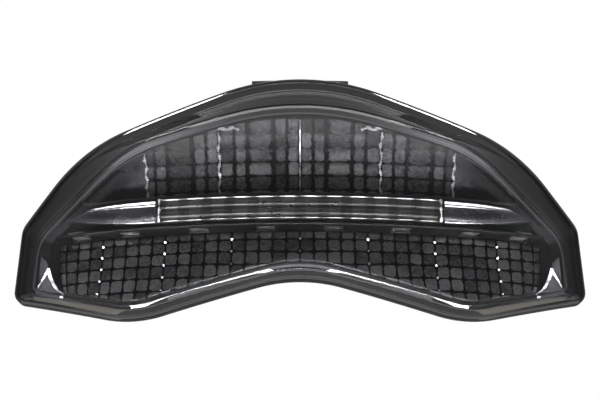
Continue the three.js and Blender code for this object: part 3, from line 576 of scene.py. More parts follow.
def lens_outside():
    """Rings from the face's edge over the shoulder, wall and rim to the skirt's end, with their tones, which
    set how dark the lens's painted shade is.
    """
    rim, crease = outline(RIM), outline(CREASE)
    shoulder = outline(FACE, -SHOULDER_OUT)
    rings = [ring(outline(FACE, FACE_INSET), face_depth)]
    tones = [1.0]
    for by, less in SHOULDER_TURN:
        edge = outline(FACE, by)
        near = np.exp(-((edge[:, 0] / FLAT_REACH) ** 4))
        soft = 1 - FLAT_SHARE * near * (edge[:, 1] < 0) * (less < FLAT_DROP)
        rings.append(bend(edge[:, 0], face_depth(edge[:, 0]) - less * soft, edge[:, 1]))
        tones.append(1.0)
    for t in (1.0, 0.8, 0.6, 0.4, 0.2, 0.08, 0.04):
        rings.append(ring(mix(crease, shoulder, t), wall_depth(t, 0)))
        tones.append(0.25 + 0.35 * t)
    ledge_start = outline(CREASE, CREASE_FOLD[-1][0])
    gap = np.linalg.norm(rim - ledge_start, axis=1)
    room, ledged = np.maximum(gap, RIM_TURN_ROOM)[:, None], np.clip(gap - LEDGE_NARROWEST, 0, 1)

    def fold(points, depth, steep, tone):
        rings.append(bend(points[:, 0], mix(steep, depth, ledged), points[:, 1]))
        tones.append(tone)

    for by, depth, steep in CREASE_FOLD:
        fold(outline(CREASE, by), depth, steep, 0.1)
    foot, kept = RIM_TURN_STEEP
    for by, depth in RIM_TURN:
        fold(mix(rim, ledge_start, by / room), depth, foot + kept * (depth - RIM_TURN[-1][1]), 0.0)
    for depth in SKIRT_DEPTHS:
        fold(rim, depth, depth, 0.0)
    rings.append(ring(outline(RIM, SKIRT_END_INSET), SKIRT_END))
    tones.append(0.0)
    return rings, tones


def lens_inside():
    """Rings from the skirt's end up the inside of the wall to the back of the face, with their tones, which
    set how dark the lens's painted shade is.
    """
    crease, wall = outline(CREASE, WALL), outline(FACE, 1.2)
    tail = outline(RIM, WALL)
    rings = [ring(tail, SKIRT_END), ring(tail, SKIRT_FRONT - 1.6), ring(crease, CREASE_DEPTH - WALL)]
    for t in (0.45, 0.8):
        rings.append(ring(mix(crease, wall, t), wall_depth(t * 1.2, t * 2)))
    for by, less in [(1.8, 3.8)] + INNER_CORNER:
        rings.append(ring(outline(FACE, by), lambda x, less=less: face_depth(x) - less))
    return rings, [0.0, 0.0, 0.1, 0.35, 0.5] + [1.0] * (1 + len(INNER_CORNER))


def lens():
    outside, outer_tones = lens_outside()
    inside, inner_tones = lens_inside()
    shape = Shape().rings(outside + inside, tone=outer_tones + inner_tones)
    for by, less in ((FACE_INSET, 0), (INNER_INSET, WALL + GAP)):
        grid = crown_grid(FACE, by, less)
        shape.grid(grid, np.ones((*grid.shape[:2], 2)))
    ride(shape.make("lens_shell", lens_mat, 50), "lens", slot="smoked_lens")


# ---- Housing ----
FLANGE_BACK, FLANGE_FRONT, TONGUE_FRONT, SHALLOWEST = -5, -2.8, 3.5, -6.2
BACK_INSET, INNER_BACK_INSET, BACK_WALL, TONGUE_INSET = 9.5, 11.5, 2.2, 4.8
UPRIGHT_X, UPRIGHT_SIZE, UPRIGHT_Z = 66, (2, 3.2, 40), -8
RIB_REACH, RIB_Z = 86, 2
# The long rib's section: height from its middle, and depth from the back.
RIB_SECTION = [(1.0, 0.8), (1.0, -2.0), (0.6, -2.4), (-0.6, -2.4), (-1.0, -2.0), (-1.0, 0.8), (1.0, 0.8)]
BOSS_ROOT = -20  # y, just inside the back wall, that the collar and the vent's boss start from


def sweep(name, x, section, caps):
    """A closed section of (depth, z) pairs swept along x. caps are the quads that close its ends."""
    shape = Shape().grid(np.stack([bend(x, d, z) for d, z in section], axis=1))
    caps = np.array(caps)
    shape.faces += [caps, caps + (len(x) - 1) * len(section)]
    return shape.make(name, housing_mat)


def floor_depth(less, limit=0):
    """Depth of the housing's back wall, less millimetres in from its outside, and limit at most."""
    return lambda x: np.minimum(np.minimum(back_depth(x), SHALLOWEST) + less, limit)


def housing():
    steps = [
        (BACK_INSET, floor_depth(0)), (8.7, floor_depth(0.5, -5.7)),
        (8.0, floor_depth(1.8, -5.3)), (6.9, FLANGE_BACK), (1.9, FLANGE_BACK),
        (1.35, -4.7), (0.6, -3.1), (0.8, FLANGE_FRONT), (TONGUE_INSET, FLANGE_FRONT),
        (TONGUE_INSET, TONGUE_FRONT), (6.6, TONGUE_FRONT),
        (8.0, lambda x: np.maximum(floor_depth(5)(x), -3)), (INNER_BACK_INSET, floor_depth(BACK_WALL)),
    ]
    shape = Shape().rings([ring(outline(RIM, by), depth) for by, depth in steps])
    for by, less in ((BACK_INSET, 0), (INNER_BACK_INSET, BACK_WALL)):
        grid, _, _ = patch(outline(RIM, by))
        shape.grid(bend(grid[..., 0], floor_depth(less)(grid[..., 0]), grid[..., 1]))
    body = shape.make("housing_shell", housing_mat)
    joined = [block("pad", PAD_SIZE, (0, -PAD_SIZE[1] / 2, 0), 1.6)]
    joined.append(rod("collar", COLLAR_RADIUS, BOSS_ROOT, INLET_FACE, INLET_X, INLET_Z))
    joined.append(rod("vent_boss", VENT_BOSS_RADIUS, BOSS_ROOT, VENT_FACE, VENT_X, INLET_Z))
    for x in (-UPRIGHT_X, UPRIGHT_X):
        y = float(seam_y(x) - back_depth(x))
        joined.append(block("upright", UPRIGHT_SIZE, (x, y + 0.8, UPRIGHT_Z), 0.5, segments=2))
    x = np.linspace(-RIB_REACH, RIB_REACH, 60)
    section = [(back_depth(x) + d, RIB_Z + z) for z, d in RIB_SECTION]
    joined.append(sweep("long_rib", x, section, [[0, 1, 2, 5], [2, 3, 4, 5]]))
    boolean(body, joined, "UNION")
    cuts = [rod("bore", INLET_RADIUS, -40, 0, INLET_X, INLET_Z)]
    cuts += [rod("socket", SOCKET_RADIUS, -SOCKET_DEPTH, 1, s * INSERT_X, 0) for s in (-1, 1)]
    cuts.append(block("core", (20, 20, 16), (0, -14, 0), 0.8, segments=2))
    boolean(body, cuts, "DIFFERENCE")
    finished(body, housing_mat)
    ride(body, "rear_housing", slot="black_housing")


WEB_BACK, WEB_FRONT, WEB_FOOT, WEB_BEVEL = -5.3, -8.3, 44.6, 0.3
SHELF_DEPTH = 18.8
GUSSET_X, GUSSET_THICKNESS = 17.2, 2
GUSSET_SIDE = [(-30.8, 51.2), (-30.8, 45.2), (-21, 51.2)]  # y and z


def bracket():
    back, front, foot, top, bevel = WEB_BACK, WEB_FRONT, WEB_FOOT, TAB_TOP, WEB_BEVEL
    section = [
        (back, foot), (back, top - bevel), (back - bevel, top), (front + bevel, top), (front, top - bevel),
        (front, foot), (front + bevel, foot - 0.2), (back - bevel, foot - 0.2), (back, foot),
    ]
    x = np.linspace(-TAB_HALF, TAB_HALF, 40)
    web = sweep("bracket_body", x, section, [[0, 1, 4, 5], [1, 2, 3, 4], [0, 5, 6, 7]])
    shelf_at = (0, TAB_BACK - SHELF_DEPTH / 2, TAB_TOP - TAB_THICKNESS / 2)
    joined = [block("shelf", (2 * TAB_HALF, SHELF_DEPTH, TAB_THICKNESS), shelf_at, 0.5)]
    for s in (-1, 1):
        half = GUSSET_THICKNESS / 2
        points = [(s * GUSSET_X + w, y, z) for w in (-half, half) for y, z in GUSSET_SIDE]
        faces = [(0, 1, 2), (5, 4, 3), (0, 3, 4, 1), (1, 4, 5, 2), (2, 5, 3, 0)]
        joined.append(solid("gusset", points, faces))
    boolean(web, joined, "UNION")
    holes = [rod("hole", TAB_HOLE_RADIUS, 40, 60, s * TAB_HOLE_X, TAB_HOLE_Y, "Z") for s in (-1, 1)]
    boolean(web, holes, "DIFFERENCE")
    finished(web, housing_mat, 30)
    ride(web, "top_bracket", slot="black_housing")


def seal():
    # Distance in from the rim, and depth.
    section = [(0.4, -1.9), (0.6, -1.4), (1.2, -1.3), (4.4, -1.3), (4.4, -2.5), (1.2, -2.5), (0.6, -2.4)]
    rings = [ring(outline(RIM, by), depth) for by, depth in section]
    ride(Shape().rings(rings, closed=True).make("seal_bead", rubber_mat), "lens_seal", slot="rubber")


# ---- Bright lines ----
# They face this way, so that the camera sees the low lamp in them, and their near-white colour is painted
# highlight. The first goes by x in metres.
AIM_ACROSS, AIM_FORWARD, AIM_DOWN = -1.9, -0.85, -0.5
RIBBON_THICKNESS = 0.3


def ribbon(shape, x, depth, z, width):
    """Adds a thin strip along points on the seam, facing down and forwards."""
    path = bend(x, depth, z)
    along = np.gradient(path, axis=0)
    along /= np.linalg.norm(along, axis=1)[:, None]
    level = np.ones(len(path))
    facing = np.stack([AIM_ACROSS * path[:, 0], AIM_FORWARD * level, AIM_DOWN * level], axis=1)
    facing /= np.linalg.norm(facing, axis=1)[:, None]
    across = np.cross(facing, along)
    across *= (np.broadcast_to(width, len(path)) * MM / 2 / np.linalg.norm(across, axis=1))[:, None]
    deep = facing * RIBBON_THICKNESS * MM
    section = [path - across, path + across, path + across - deep, path - across - deep, path - across]
    tips = [np.repeat((path - deep / 2)[k][None, None], 5, axis=1) for k in (0, -1)]
    shape.grid(np.concatenate([tips[0], np.stack(section, axis=1), tips[1]]))
    return shape


def glints(shape, x, depth, z, sizes):
    """Adds a chain of small oval facets along points on the seam, each leaning towards the low lamp."""
    turn = np.linspace(0, math.pi, 7)
    for px, pd, pz, size in np.broadcast(x, depth, z, sizes):
        lean = -0.5 * size * np.cos(turn)
        ribbon(shape, px + 0 * turn, pd + 0.55 * lean, pz + lean, size * np.sin(turn) + 0.04)


# ---- Trim ----
# Depth and distance below the bar's top, from its upper lip over two flutes to its lower lip.
BAR_SECTION = [
    (14.0, 0.0), (16.5, 0.0), (16.95, 0.12), (17.1, 0.4), (16.95, 0.7), (17.0, 0.85), (17.5, 1.2),
    (17.9, 1.7), (18.15, 2.4), (18.15, 3.0), (17.9, 3.6), (17.4, 4.05), (17.0, 4.25), (17.0, 4.45),
    (17.4, 4.75), (17.8, 5.2), (18.05, 5.9), (18.05, 6.6), (17.8, 7.2), (17.3, 7.7), (16.9, 7.9),
    (16.9, 8.05), (17.15, 8.3), (17.2, 8.6), (16.95, 8.95), (16.4, 9.1), (14.0, 9.1),
]
BAR_MIDDLE_Z = (BAR_TOP + BAR_BOTTOM) / 2
BAR_END_DEPTH = 17.9
PRISM_DEPTH = 0.16


def centre_bar():
    """Two flutes with shallow prisms along them, between square ends."""
    ends = BAR_HALF - np.array([0, 0.4, 1.4, 1.8])
    x = np.concatenate([-ends, np.linspace(2 - BAR_HALF, BAR_HALF - 2, 209), ends[::-1]])
    end = np.clip((np.abs(x) - 52.1) / 0.4, 0, 1)[:, None]
    d, below = np.array(BAR_SECTION).T
    prism = PRISM_DEPTH * np.abs(2 * np.mod(x[:, None] / PRISM_PITCH, 1) - 1) * (1 - end)
    proud = np.clip((d - 17.0) / 0.5, 0, 1)
    depth = np.where(d > 15, d - prism * proud + end * np.clip(BAR_END_DEPTH - d, 0, 0.6), d)
    inner_z = np.linspace(BAR_TOP - 1.2, BAR_BOTTOM + 1.2, len(d))
    front = bend(x[:, None], depth, BAR_TOP - below)
    back = bend(x[:, None], np.minimum(15.9 - 0.08 * np.square(inner_z - BAR_MIDDLE_Z), 15.7), inner_z)
    back[:, 0] = bend(x, 14.0, BAR_TOP - 1.0)
    back[:, -1] = bend(x, 14.0, BAR_BOTTOM + 1.0)
    shape = Shape().grid(np.concatenate([front, back[:, ::-1], front[:, :1]], axis=1))
    for k in (0, -1):
        shape.grid(np.stack([front[k], back[k]], axis=1))
    ride(shape.make("bar_skin", bar_mat, 40), "centre_bar", slot="bright_trim")


def bar_lip_highlights():
    """Painted highlights: near-white glints on the end caps, and broken bright lines along the bar's two
    lips.
    """
    lips = Shape()
    z = np.linspace(BAR_TOP - 0.5, BAR_BOTTOM + 0.5, 14)
    for side in (-1, 1):
        glints(lips, side * (BAR_HALF - 0.6), BAR_END_DEPTH, z, 0.9)
    x = np.linspace(1 - BAR_HALF, BAR_HALF - 1, 120)
    dashes = np.clip(1.5 * np.abs(np.sin(x / 2.8)) - 0.5, 0.08, 1)
    for depth, z, width in ((17.35, BAR_TOP - 0.42, 0.32), (17.2, BAR_BOTTOM + 0.4, 0.14)):
        ribbon(lips, x, depth, z, width * dashes)
    ride(lips.make("bar_lip_highlights", painted_highlight_mat, 60), "centre_bar", slot="bright_trim")


def closed_sheet(x, depth, z, thickness):
    """A curved plate: its front, its back and the strips that join their borders."""
    front, back = bend(x, depth, z), bend(x, depth - thickness, z)
    shape = Shape().grid(front).grid(back)
    for edge in (np.s_[0], np.s_[-1], np.s_[:, 0], np.s_[:, -1]):
        shape.grid(np.stack([front[edge], back[edge]], axis=1))
    return shape


WING_START, WING_LENGTH, WING_RAKE, WING_DEPTH = 0.6, 27, 9, 17.3
TUBE_RADIUS, TUBE_REACH = 5.0, 4.35
# Share of the way down the wing, width, and height above its surface, of each bright line, a strip of
# painted highlight.
WING_LINES = ((0.1, 0.95, 0.9), (0.24, 0.3, 0.5), (0.95, 0.2, 0.5))


def wing_at(u, v):
    """x, depth and z on the wing, u outwards from the bar and v from its top edge to its bottom."""
    x = BAR_HALF + WING_START + (WING_LENGTH + WING_RAKE * v - WING_START) * u
    z = mix(BAR_TOP - 0.2 - 1.2 * u**4, BAR_BOTTOM + 0.2 + 4.2 * u**2, v)
    tube = TUBE_RADIUS - np.sqrt(TUBE_RADIUS**2 - np.square(TUBE_REACH * (2 * v - 1)))
    return x, WING_DEPTH - 0.05 * (x - BAR_HALF) - tube * (1 - 0.5 * u), z


def wing(name, side):
    x, depth, z = wing_at(np.linspace(0, 1, 40)[:, None], np.linspace(0, 1, 24)[None, :])
    shape = closed_sheet(side * x, depth, z, 1.2)
    ride(shape.make(f"{name}_wing_skin", wing_mat, 40), f"{name}_wing", slot="satin_trim")
    # painted highlight: near-white strips standing proud of the wing, where its tube catches the light
    lines = Shape()
    u = np.linspace(0.02, 0.98, 50)
    for share, width, proud in WING_LINES:
        x, depth, z = wing_at(u, share)
        ribbon(lines, side * x, depth + proud, z, width * (1 - u**2) + 0.1)
    ride(lines.make(f"{name}_wing_painted_highlights", painted_highlight_mat, 60), f"{name}_wing", slot="satin_trim")


# Ends of the corner facet's inner and outer edges, as x and z, from top to bottom.
FACET_INNER = ((98.8, -20.2), (91.6, -34.4))
FACET_OUTER = ((101.4, -17.6), (103.7, -31.8))
FACET_HOLLOW, FACET_WALL, FACET_BEHIND = 1.3, 1.0, 4.7
SHORT_LEG = ((97.8, -23.3), (102.6, -29.6))  # the outer leg of the painted highlight V, from its top to its bottom


def corner_trim(name, side):
    u, v = np.linspace(0, 1, 20)[:, None], np.linspace(0, 1, 30)[None, :]
    hollow = FACET_HOLLOW * np.sin(math.pi * v) * (1 - u)
    inner_x, inner_z = [mix(a, b, v) for a, b in zip(*FACET_INNER)]
    outer_x, outer_z = [mix(a, b, v) for a, b in zip(*FACET_OUTER)]
    x, z = mix(inner_x, outer_x, u) + hollow, mix(inner_z, outer_z, u)
    depth = face_depth(x) - FACET_BEHIND - 2.4 * v - 0.5 * np.abs(2 * u - 0.9)
    shape = closed_sheet(side * x, depth, z, FACET_WALL)
    ride(shape.make(f"{name}_corner_facet", corner_mat, 40), f"{name}_corner_trim", slot="satin_trim")
    # painted highlight: near-white glints in a V, along the facet's inner edge and beside it
    lines = Shape()
    t = np.linspace(0.2, 1, 36)
    leg = [np.interp(t, v[0], row) for row in (x[0], depth[0], z[0])]
    glints(lines, side * leg[0], leg[1] + 0.7, leg[2], mix(1.5, 0.8, t))
    t = np.linspace(0, 1, 26)
    leg_x, leg_z = [mix(a, b, t) for a, b in zip(*SHORT_LEG)]
    glints(lines, side * leg_x, face_depth(leg_x) - 4.0 - 1.2 * t, leg_z, mix(1.0, 0.4, t))
    ride(lines.make(f"{name}_corner_painted_highlights", painted_highlight_mat, 60), f"{name}_corner_trim", slot="satin_trim")


# ---- Reflectors ----
FACE_LINE = outline(FACE)
REFLECTOR_WALL, SHELF_WALL, CELL_PROUD = 0.8, 1.0, 0.75
FIRST_ROW = 0.35  # share of a cell's height that the first row lacks
COLUMN_SAMPLES = 1.7  # stations for each millimetre across


class Bowl:
    """The front surface of a reflector, from its shelf (w = 0) to its edge by the face (w = 1)."""

    def __init__(self, upper, pitch, deepest, behind_face, edge, curve):
        self.upper, self.pitch, self.curve = upper, pitch, curve
        self.deepest, self.behind_face = deepest, behind_face
        self.shelf_z = UPPER_FLOOR + 0.3 if upper else LOWER_CEILING - 0.3
        self.edge = -edge if upper else edge

    def at(self, x, w):
        depth = self.deepest + (face_depth(x) - self.behind_face - self.deepest) * w**self.curve
        z = self.shelf_z + (edge_at(FACE_LINE, x, self.upper) + self.edge - self.shelf_z) * w
        return depth, z

    def row(self, depth, z):
        """How many rows up a point lies. Rows are evenly spaced as seen from a little below the front."""
        climb = np.abs(0.966 * (z - self.shelf_z) + 0.26 * (depth - self.deepest))
        return climb / self.pitch + FIRST_ROW


def columns_of(ridges, reach, shares):
    """Stations across a reflector, each with a running count of cells. Cells mirror about x = 0."""
    half, count = [], 0.0
    stops = [r for r in ridges if r > 0]
    width = stops[0]
    for low, high in zip([0.0] + stops, stops + [reach]):
        cuts = [low + s * width for s in shares if low + s * width < high - 1.5] + [high]
        for a, b in zip(cuts, cuts[1:]):
            steps = max(6, round((b - a) * COLUMN_SAMPLES))
            half += [(a + (b - a) * k / steps, count + k / steps) for k in range(steps)]
            count += 1
    half.append((reach, count))
    x, cell = np.array(half).T
    return np.concatenate([-x[:0:-1], x]), np.concatenate([-cell[:0:-1], cell])


def reflector(level, bowl, mat, columns, smooth_from, narrowing=0.0):
    """The cells, and beyond smooth_from the plain ends. narrowing draws the outer columns in at the edge."""
    x, cell = columns
    reach = x[-1]
    w = np.linspace(0, 1, 84)[None, :]
    xx = x[:, None] * (1 - narrowing * w**2 * (np.abs(x[:, None]) / reach) ** 8)
    depth, z = bowl.at(xx, w)
    row = bowl.row(depth, z)
    a, b = np.mod(cell[:, None], 1.0), np.mod(row, 1.0)
    pillow = np.sqrt(np.clip(4 * a * (1 - a), 0, 1)) * np.sqrt(np.clip(4 * b * (1 - b), 0, 1))
    cells = 1 - np.clip((np.abs(xx) - smooth_from) / 0.8, 0, 1)
    front = bend(xx, depth + CELL_PROUD * pillow * cells * np.clip(w / 0.03, 0, 1), z)
    uv = np.stack([np.broadcast_to(cell[:, None], row.shape), row], axis=-1)
    whole = (np.abs(x[:-1] + x[1:]) / 2 < smooth_from)[:, None]
    keep = np.broadcast_to(whole, (len(x) - 1, w.shape[1] - 1))
    ob = Shape().grid(front, uv, keep).make(f"{level}_cells", mat, 60)
    ride(thickened(ob, REFLECTOR_WALL, 1), f"{level}_reflector", slot="reflector")
    if smooth_from < reach:
        ends = Shape()
        for side in (-1, 1):
            ends.grid(front[side * x > smooth_from - 0.3])
        ob = ends.make(f"{level}_cells_ends", smooth_mat, 60)
        ride(thickened(ob, REFLECTOR_WALL, 1), f"{level}_reflector", slot="reflector")


def thickened(ob, thickness, axis, front=-1):
    """Gives a sheet a wall behind its front side, which faces up the axis (front = 1) or down it (-1)."""
    outwards = sum(p.normal[axis] * p.area for p in ob.data.polygons) * front > 0
    wall = ob.modifiers.new("wall", "SOLIDIFY")
    wall.thickness = thickness * MM
    wall.offset = -1.0 if outwards else 1.0
    return ob


def shelf(level, reach, leds):
    """The flat shelf above or below the bar, with a window for each LED."""
    upper = level == "upper"
    x = np.linspace(-reach, reach, round(reach * 4) + 1)[:, None]
    back, z = (4.6, UPPER_FLOOR) if upper else (3.1, LOWER_CEILING)
    lip = np.minimum(SHELF_FRONT, face_depth(x) - 5.5)
    depth = back + (lip - back) * np.linspace(0, 1, 36)[None, :]
    mid_x = (x[1:] + x[:-1]) / 2 + 0 * depth[1:, 1:]
    mid_d = (depth[1:, 1:] + depth[:-1, :-1]) / 2
    keep = np.ones(mid_x.shape, bool)
    half = LED_SIZE / 2 + 0.4
    for led in leds:
        keep &= ~((np.abs(mid_x - led) < half) & (np.abs(mid_d - LED_DEPTH) < half))
    ob = Shape().grid(bend(x, depth, z), None, keep).make(f"{level}_shelf", shelf_mat, 60)
    ride(thickened(ob, SHELF_WALL, 2, 1 if upper else -1), f"{level}_reflector", slot="reflector")


def bead_glints(shape, bowl, ridges):
    """Near-white glints down each ridge, one at each groove between rows: painted highlights for the sparkle
    on each bead.
    """
    for r in ridges:
        w = np.linspace(0.03, 0.97, 240)
        row = bowl.row(*bowl.at(r, w))
        at = np.interp(np.arange(math.ceil(row.min()), math.floor(row.max()) + 1), row, w)
        depth, z = bowl.at(r, at)
        glints(shape, r, depth + 1.2, z, 0.86 + 0.2 * np.sin(3.1 * at * len(at) + r))


def crooked_lines(shape, bowl, ridges):
    """Painted highlights: a straight line down the middle ridge, crooked ones down the rest, short ones by
    the inner tops.
    """
    for r in ridges:
        w = np.linspace(0.03, 0.97, 240)
        depth, z = bowl.at(r, w)
        if r == 0:
            ribbon(shape, 0 * w, depth + 1.0, z, 0.3 + 0.14 * np.sin(40 * w))
            continue
        row = bowl.row(depth, z)
        step = np.arange(row.min() + 0.1, row.max(), 0.19)
        at = np.interp(step, row, w)
        depth, z = bowl.at(r, at)
        sizes = 0.55 + 0.75 * np.abs(np.sin(5 * step + r)) ** 3
        glints(shape, r + 0.3 * np.sin(23 * at + r), depth + 1.2, z, sizes)
        if abs(r) < BAR_HALF:
            along = np.linspace(0, 1, 9)
            depth, z = bowl.at(r, 1.0)
            sizes = 0.8 + 0.6 * np.sin(7 * along) ** 2
            glints(shape, r * (1 - 0.24 * along), depth + 0.9, z + 0.4 * np.sin(11 * along), sizes)


def divider_highlights(level, add_lines, bowl, ridges):
    # painted highlight: the ridges are drawn only as near-white lines and glints
    lines = Shape()
    add_lines(lines, bowl, ridges)
    ride(lines.make(f"{level}_dividers", painted_highlight_mat, 60), f"{level}_reflector", slot="reflector")


def reflectors():
    bowl = Bowl(True, pitch=5.4, deepest=4.0, behind_face=5.6, edge=3.4, curve=1.6)
    shares = [s / UPPER_RIDGES[3] for s in (0, 5, 9.9, 20.3, 25.1)]
    reflector("upper", bowl, upper_mat, columns_of(UPPER_RIDGES, UPPER_REACH, shares), UPPER_RIDGES[-1])
    divider_highlights("upper", crooked_lines, bowl, UPPER_RIDGES)
    shelf("upper", UPPER_REACH, UPPER_LED_X)

    bowl = Bowl(False, pitch=4.35, deepest=2.5, behind_face=6.4, edge=3.2, curve=1.8)
    shares = [k / 5 for k in range(5)]
    reflector("lower", bowl, lower_mat, columns_of(LOWER_RIDGES, LOWER_REACH, shares), 99, narrowing=0.045)
    divider_highlights("lower", bead_glints, bowl, LOWER_RIDGES)
    shelf("lower", LOWER_REACH, LOWER_LED_X)


# ---- Hardware ----
def grommet():
    face, bore, inner, c = INLET_FACE, INLET_RADIUS, -21.9, CABLE_HOLE_RADIUS
    profile = [
        (c, face + 4.7), (c, inner + 0.2), (c + 0.2, inner), (5.2, inner), (5.5, inner + 0.2),
        (bore + 1, inner + 1.6), (bore - GAP, inner + 1.6), (bore - GAP, face + GAP), (7.1, face + GAP),
        (7.4, face + 0.6), (7.4, face + 1.9), (7.1, face + 2.2), (5.4, face + 2.4), (5.1, face + 2.8),
        (5.1, face + 3.1), (4.8, face + 3.3), (4.8, face + 4.8), (4.6, face + 5), (c + 0.3, face + 5),
    ]
    ob = lathe("grommet_body", profile, (INLET_X, 0, INLET_Z), rubber_mat)
    ride(ob, "cable_grommet", slot="rubber")


def vent_cap():
    y, s = VENT_FACE, VENT_BOSS_RADIUS + GAP
    profile = [
        (0, y + 3.4), (0, y + GAP), (s, y + GAP), (s, y - 2.6), (4.7, y - 2.6), (4.9, y - 2.4),
        (4.9, y - 0.4), (4.6, y - 0.2), (4.6, y + 0.3), (4.9, y + 0.5), (4.9, y + 2.0), (4.6, y + 2.9),
        (4.0, y + 3.4),
    ]
    ob = lathe("vent_cap_body", profile, (VENT_X, 0, INLET_Z), rubber_mat)
    ride(ob, "breather_cap", slot="rubber")


THREAD_RADIUS = 2.1


def insert(name, side):
    r = SOCKET_RADIUS - GAP
    profile = [
        (THREAD_RADIUS, -0.6), (2.3, -0.4), (r - 0.2, -0.4), (r, -0.6), (r, -4.2), (r - 0.5, -4.6),
        (r - 0.5, -6.0), (r, -6.4), (r, -10), (THREAD_RADIUS, -10),
    ]
    threads = [(THREAD_RADIUS + 0.28 * (k % 2), -9.6 + 0.4 * k) for k in range(22)]
    ob = lathe(f"{name}_insert_body", profile + threads, (side * INSERT_X, 0, 0), brass_mat, steps=48)
    ride(ob, f"{name}_mount_insert", slot="brass")


NUT_HALF_WIDTH, NUT_CORNER, NUT_HEIGHT = 3.98, 4.5, 4


def nut(name, side):
    """Hexagon nut with chamfered faces and a threaded bore."""
    turn = np.linspace(0, 2 * math.pi, 73)
    hexagon = np.minimum(NUT_HALF_WIDTH / np.cos(np.mod(turn, math.pi / 3) - math.pi / 6), NUT_CORNER)
    rows = [(2.4, 0.3), (3.7, 0.3), (hexagon, 0.7), (hexagon, 3.3)]
    rows += [(3.7, 3.7), (2.4, 3.7), (THREAD_RADIUS, 3.4)]
    rows += [(THREAD_RADIUS + 0.25 * (k % 2), 3.4 - 0.34 * k) for k in range(1, 10)]
    rows += [(THREAD_RADIUS, 0.3), (2.4, 0.3)]
    base = TAB_TOP - TAB_THICKNESS - GAP - NUT_HEIGHT
    grid = []
    for r, h in rows:
        x, y = side * TAB_HOLE_X + r * np.sin(turn), TAB_HOLE_Y + r * np.cos(turn)
        grid.append(np.stack([x, y, np.full_like(turn, base + h)], axis=-1))
    ob = Shape().grid(np.stack(grid, axis=1) * MM).make(f"{name}_nut_body", steel_mat, 25)
    ride(ob, f"{name}_tab_nut", slot="steel")


# ---- Assembly ----
SIDES = (("left", -1), ("right", 1))
lens()
housing()
bracket()
seal()
centre_bar()
bar_lip_highlights()
for name, side in SIDES:
    wing(name, side)
    corner_trim(name, side)
reflectors()
grommet()
vent_cap()
for name, side in SIDES:
    insert(name, side)
    nut(name, side)

# The CAD pieces that are kept, by a part of their names. The first match counts.
CARRIED = {
    "_led_board": circuit_mat, "driver_board": circuit_mat, "board_carrier": housing_mat,
    "_lead": lead_mat, "_screw_": steel_mat, "_led_": led_mat, "driver_": ceramic_mat,
}
for name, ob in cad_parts.items():
    mat = next((m for key, m in CARRIED.items() if key in name), None)
    if mat and ob.type == "MESH":
        ob.data.materials.clear()
        ob.data.materials.append(mat)


# ---- Stage, in metres ----
FLOOR_RADIUS, FLOOR_Z = 1.8, -0.6


def floor():
    mesh = bpy.data.meshes.new("floor")
    work = bmesh.new()
    bmesh.ops.create_circle(work, cap_ends=True, radius=FLOOR_RADIUS, segments=128)
    work.to_mesh(mesh)
    work.free()
    ob = linked("floor", mesh)
    ob.location.z = FLOOR_Z
    n = Nodes("floor_pale")
    colour = n.ramp(n.noise(3, 3), [(0.3, 0.80), (0.7, 0.84)])
    mesh.materials.append(n.surface(n.shader(Base_Color=colour, Roughness=0.6)))


def studio():
    """White where the camera looks, and for reflections a grey sky with a brighter band in front."""
    world = bpy.data.worlds.new("studio")
    bpy.context.scene.world = world
    n = Nodes("studio", world)
    split = n.node("SeparateXYZ", {0: n.node("TexCoord").outputs["Generated"]})

    def step(axis, low, high):
        inputs = {"Value": split.outputs[axis], "From Min": low, "From Max": high}
        return n.node("MapRange", inputs).outputs[0]

    band = n.math("MULTIPLY", step("Z", 0.49, 0.53), step("Z", 0.9, 0.8))
    band = n.math("MULTIPLY", band, step("Y", 0.2, -0.1))
    sky = n.mix_colours(step("Z", 0.3, 0.6), (0.11, 0.11, 0.113, 1), (0.26, 0.26, 0.27, 1))
    sky = n.mix_colours(band, sky, (1.0, 1.0, 1.02, 1))
    soft = n.node("Background", {"Color": sky}).outputs[0]
    plain = n.node("Background", {"Color": (1, 1, 1, 1)}).outputs[0]
    seen = n.node("LightPath").outputs["Is Camera Ray"]
    n.surface(n.node("MixShader", {0: seen, 1: soft, 2: plain}).outputs[0])
    bpy.context.scene.view_settings.view_transform = "Standard"


LIGHT_MIDDLE = Vector((0, -0.04, 0))
WARM = (1.0, 0.91, 0.76)


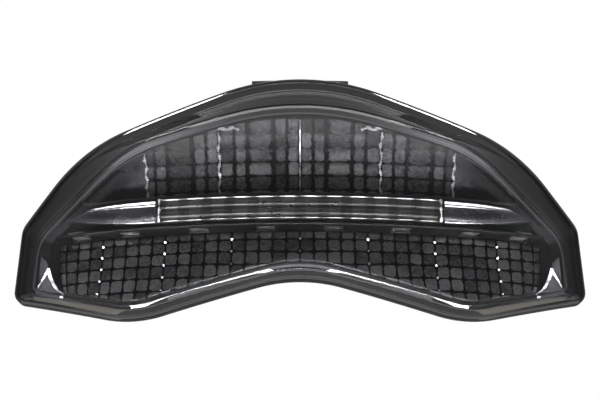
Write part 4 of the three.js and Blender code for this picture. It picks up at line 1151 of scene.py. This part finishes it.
def lamp(name, at, size, radiance, shines=True, fills=True, enters=False, colour=(1, 1, 1)):
    """A soft lamp. It may shine in reflections, fill by diffuse light, and show through the lens."""
    data = bpy.data.lights.new(name, "AREA")
    data.color = colour
    data.shape, data.size, data.size_y = "RECTANGLE", size[0], size[1]
    data.energy = radiance * math.pi * size[0] * size[1]
    ob = bpy.data.objects.new(name, data)
    ob.location = at
    ob.rotation_euler = (LIGHT_MIDDLE - Vector(at)).to_track_quat("-Z", "Y").to_euler()
    ob.visible_camera, ob.visible_transmission = False, enters
    ob.visible_glossy, ob.visible_diffuse = shines, fills
    bpy.context.scene.collection.objects.link(ob)


def lamps():
    lamp("top_front", (0, -0.24, 1.0), (1.1, 0.4), 4.0)
    lamp("mid_front", (0, -0.62, 0.86), (0.9, 0.1), 8.0, fills=False)
    lamp("front_fill", (0, -1.0, 0.55), (1.2, 0.5), 2.4, shines=False)
    lamp("low_fill", (0, -0.85, -0.35), (1.2, 0.35), 3.0, shines=False)
    lamp("low_strip", (0, -0.55, -0.58), (0.6, 0.13), 42.0, fills=False, enters=True)
    for side in (-1, 1):
        lamp("low_end", (side * 0.42, -0.43, -0.555), (0.36, 0.14), 40.0, fills=False, enters=True)
        lamp("rim_strip", (side * 0.47, 0.235, 0.905), (0.24, 0.24), 26.0, fills=False)
        lamp("warm_back", (side * 0.5, 1.1, -0.3), (0.5, 0.12), 0.32, fills=False, colour=WARM)
    lamp("back_fill", (0, 1.2, 0.5), (1.0, 0.6), 2.5)


CAMERA_PITCH, CAMERA_DISTANCE, CAMERA_WIDTH = math.radians(15), 0.560, 0.234
CAMERA_AIM = Vector((0, -0.038, 0.0024))
SENSOR = 36


def camera():
    """Looks up at the light from below its middle. CAMERA_WIDTH is how much it sees across at the light."""
    data = bpy.data.cameras.new("camera")
    ob = linked("camera", data)
    back = Vector((0, -math.cos(CAMERA_PITCH), -math.sin(CAMERA_PITCH)))
    ob.location = CAMERA_AIM + back * CAMERA_DISTANCE
    ob.rotation_euler = (CAMERA_AIM - ob.location).to_track_quat("-Z", "Y").to_euler()
    data.sensor_width = SENSOR
    data.lens = SENSOR * CAMERA_DISTANCE / CAMERA_WIDTH
    data.clip_start, data.clip_end = 0.01, 20
    bpy.context.scene.camera = ob


floor()
studio()
lamps()
camera()
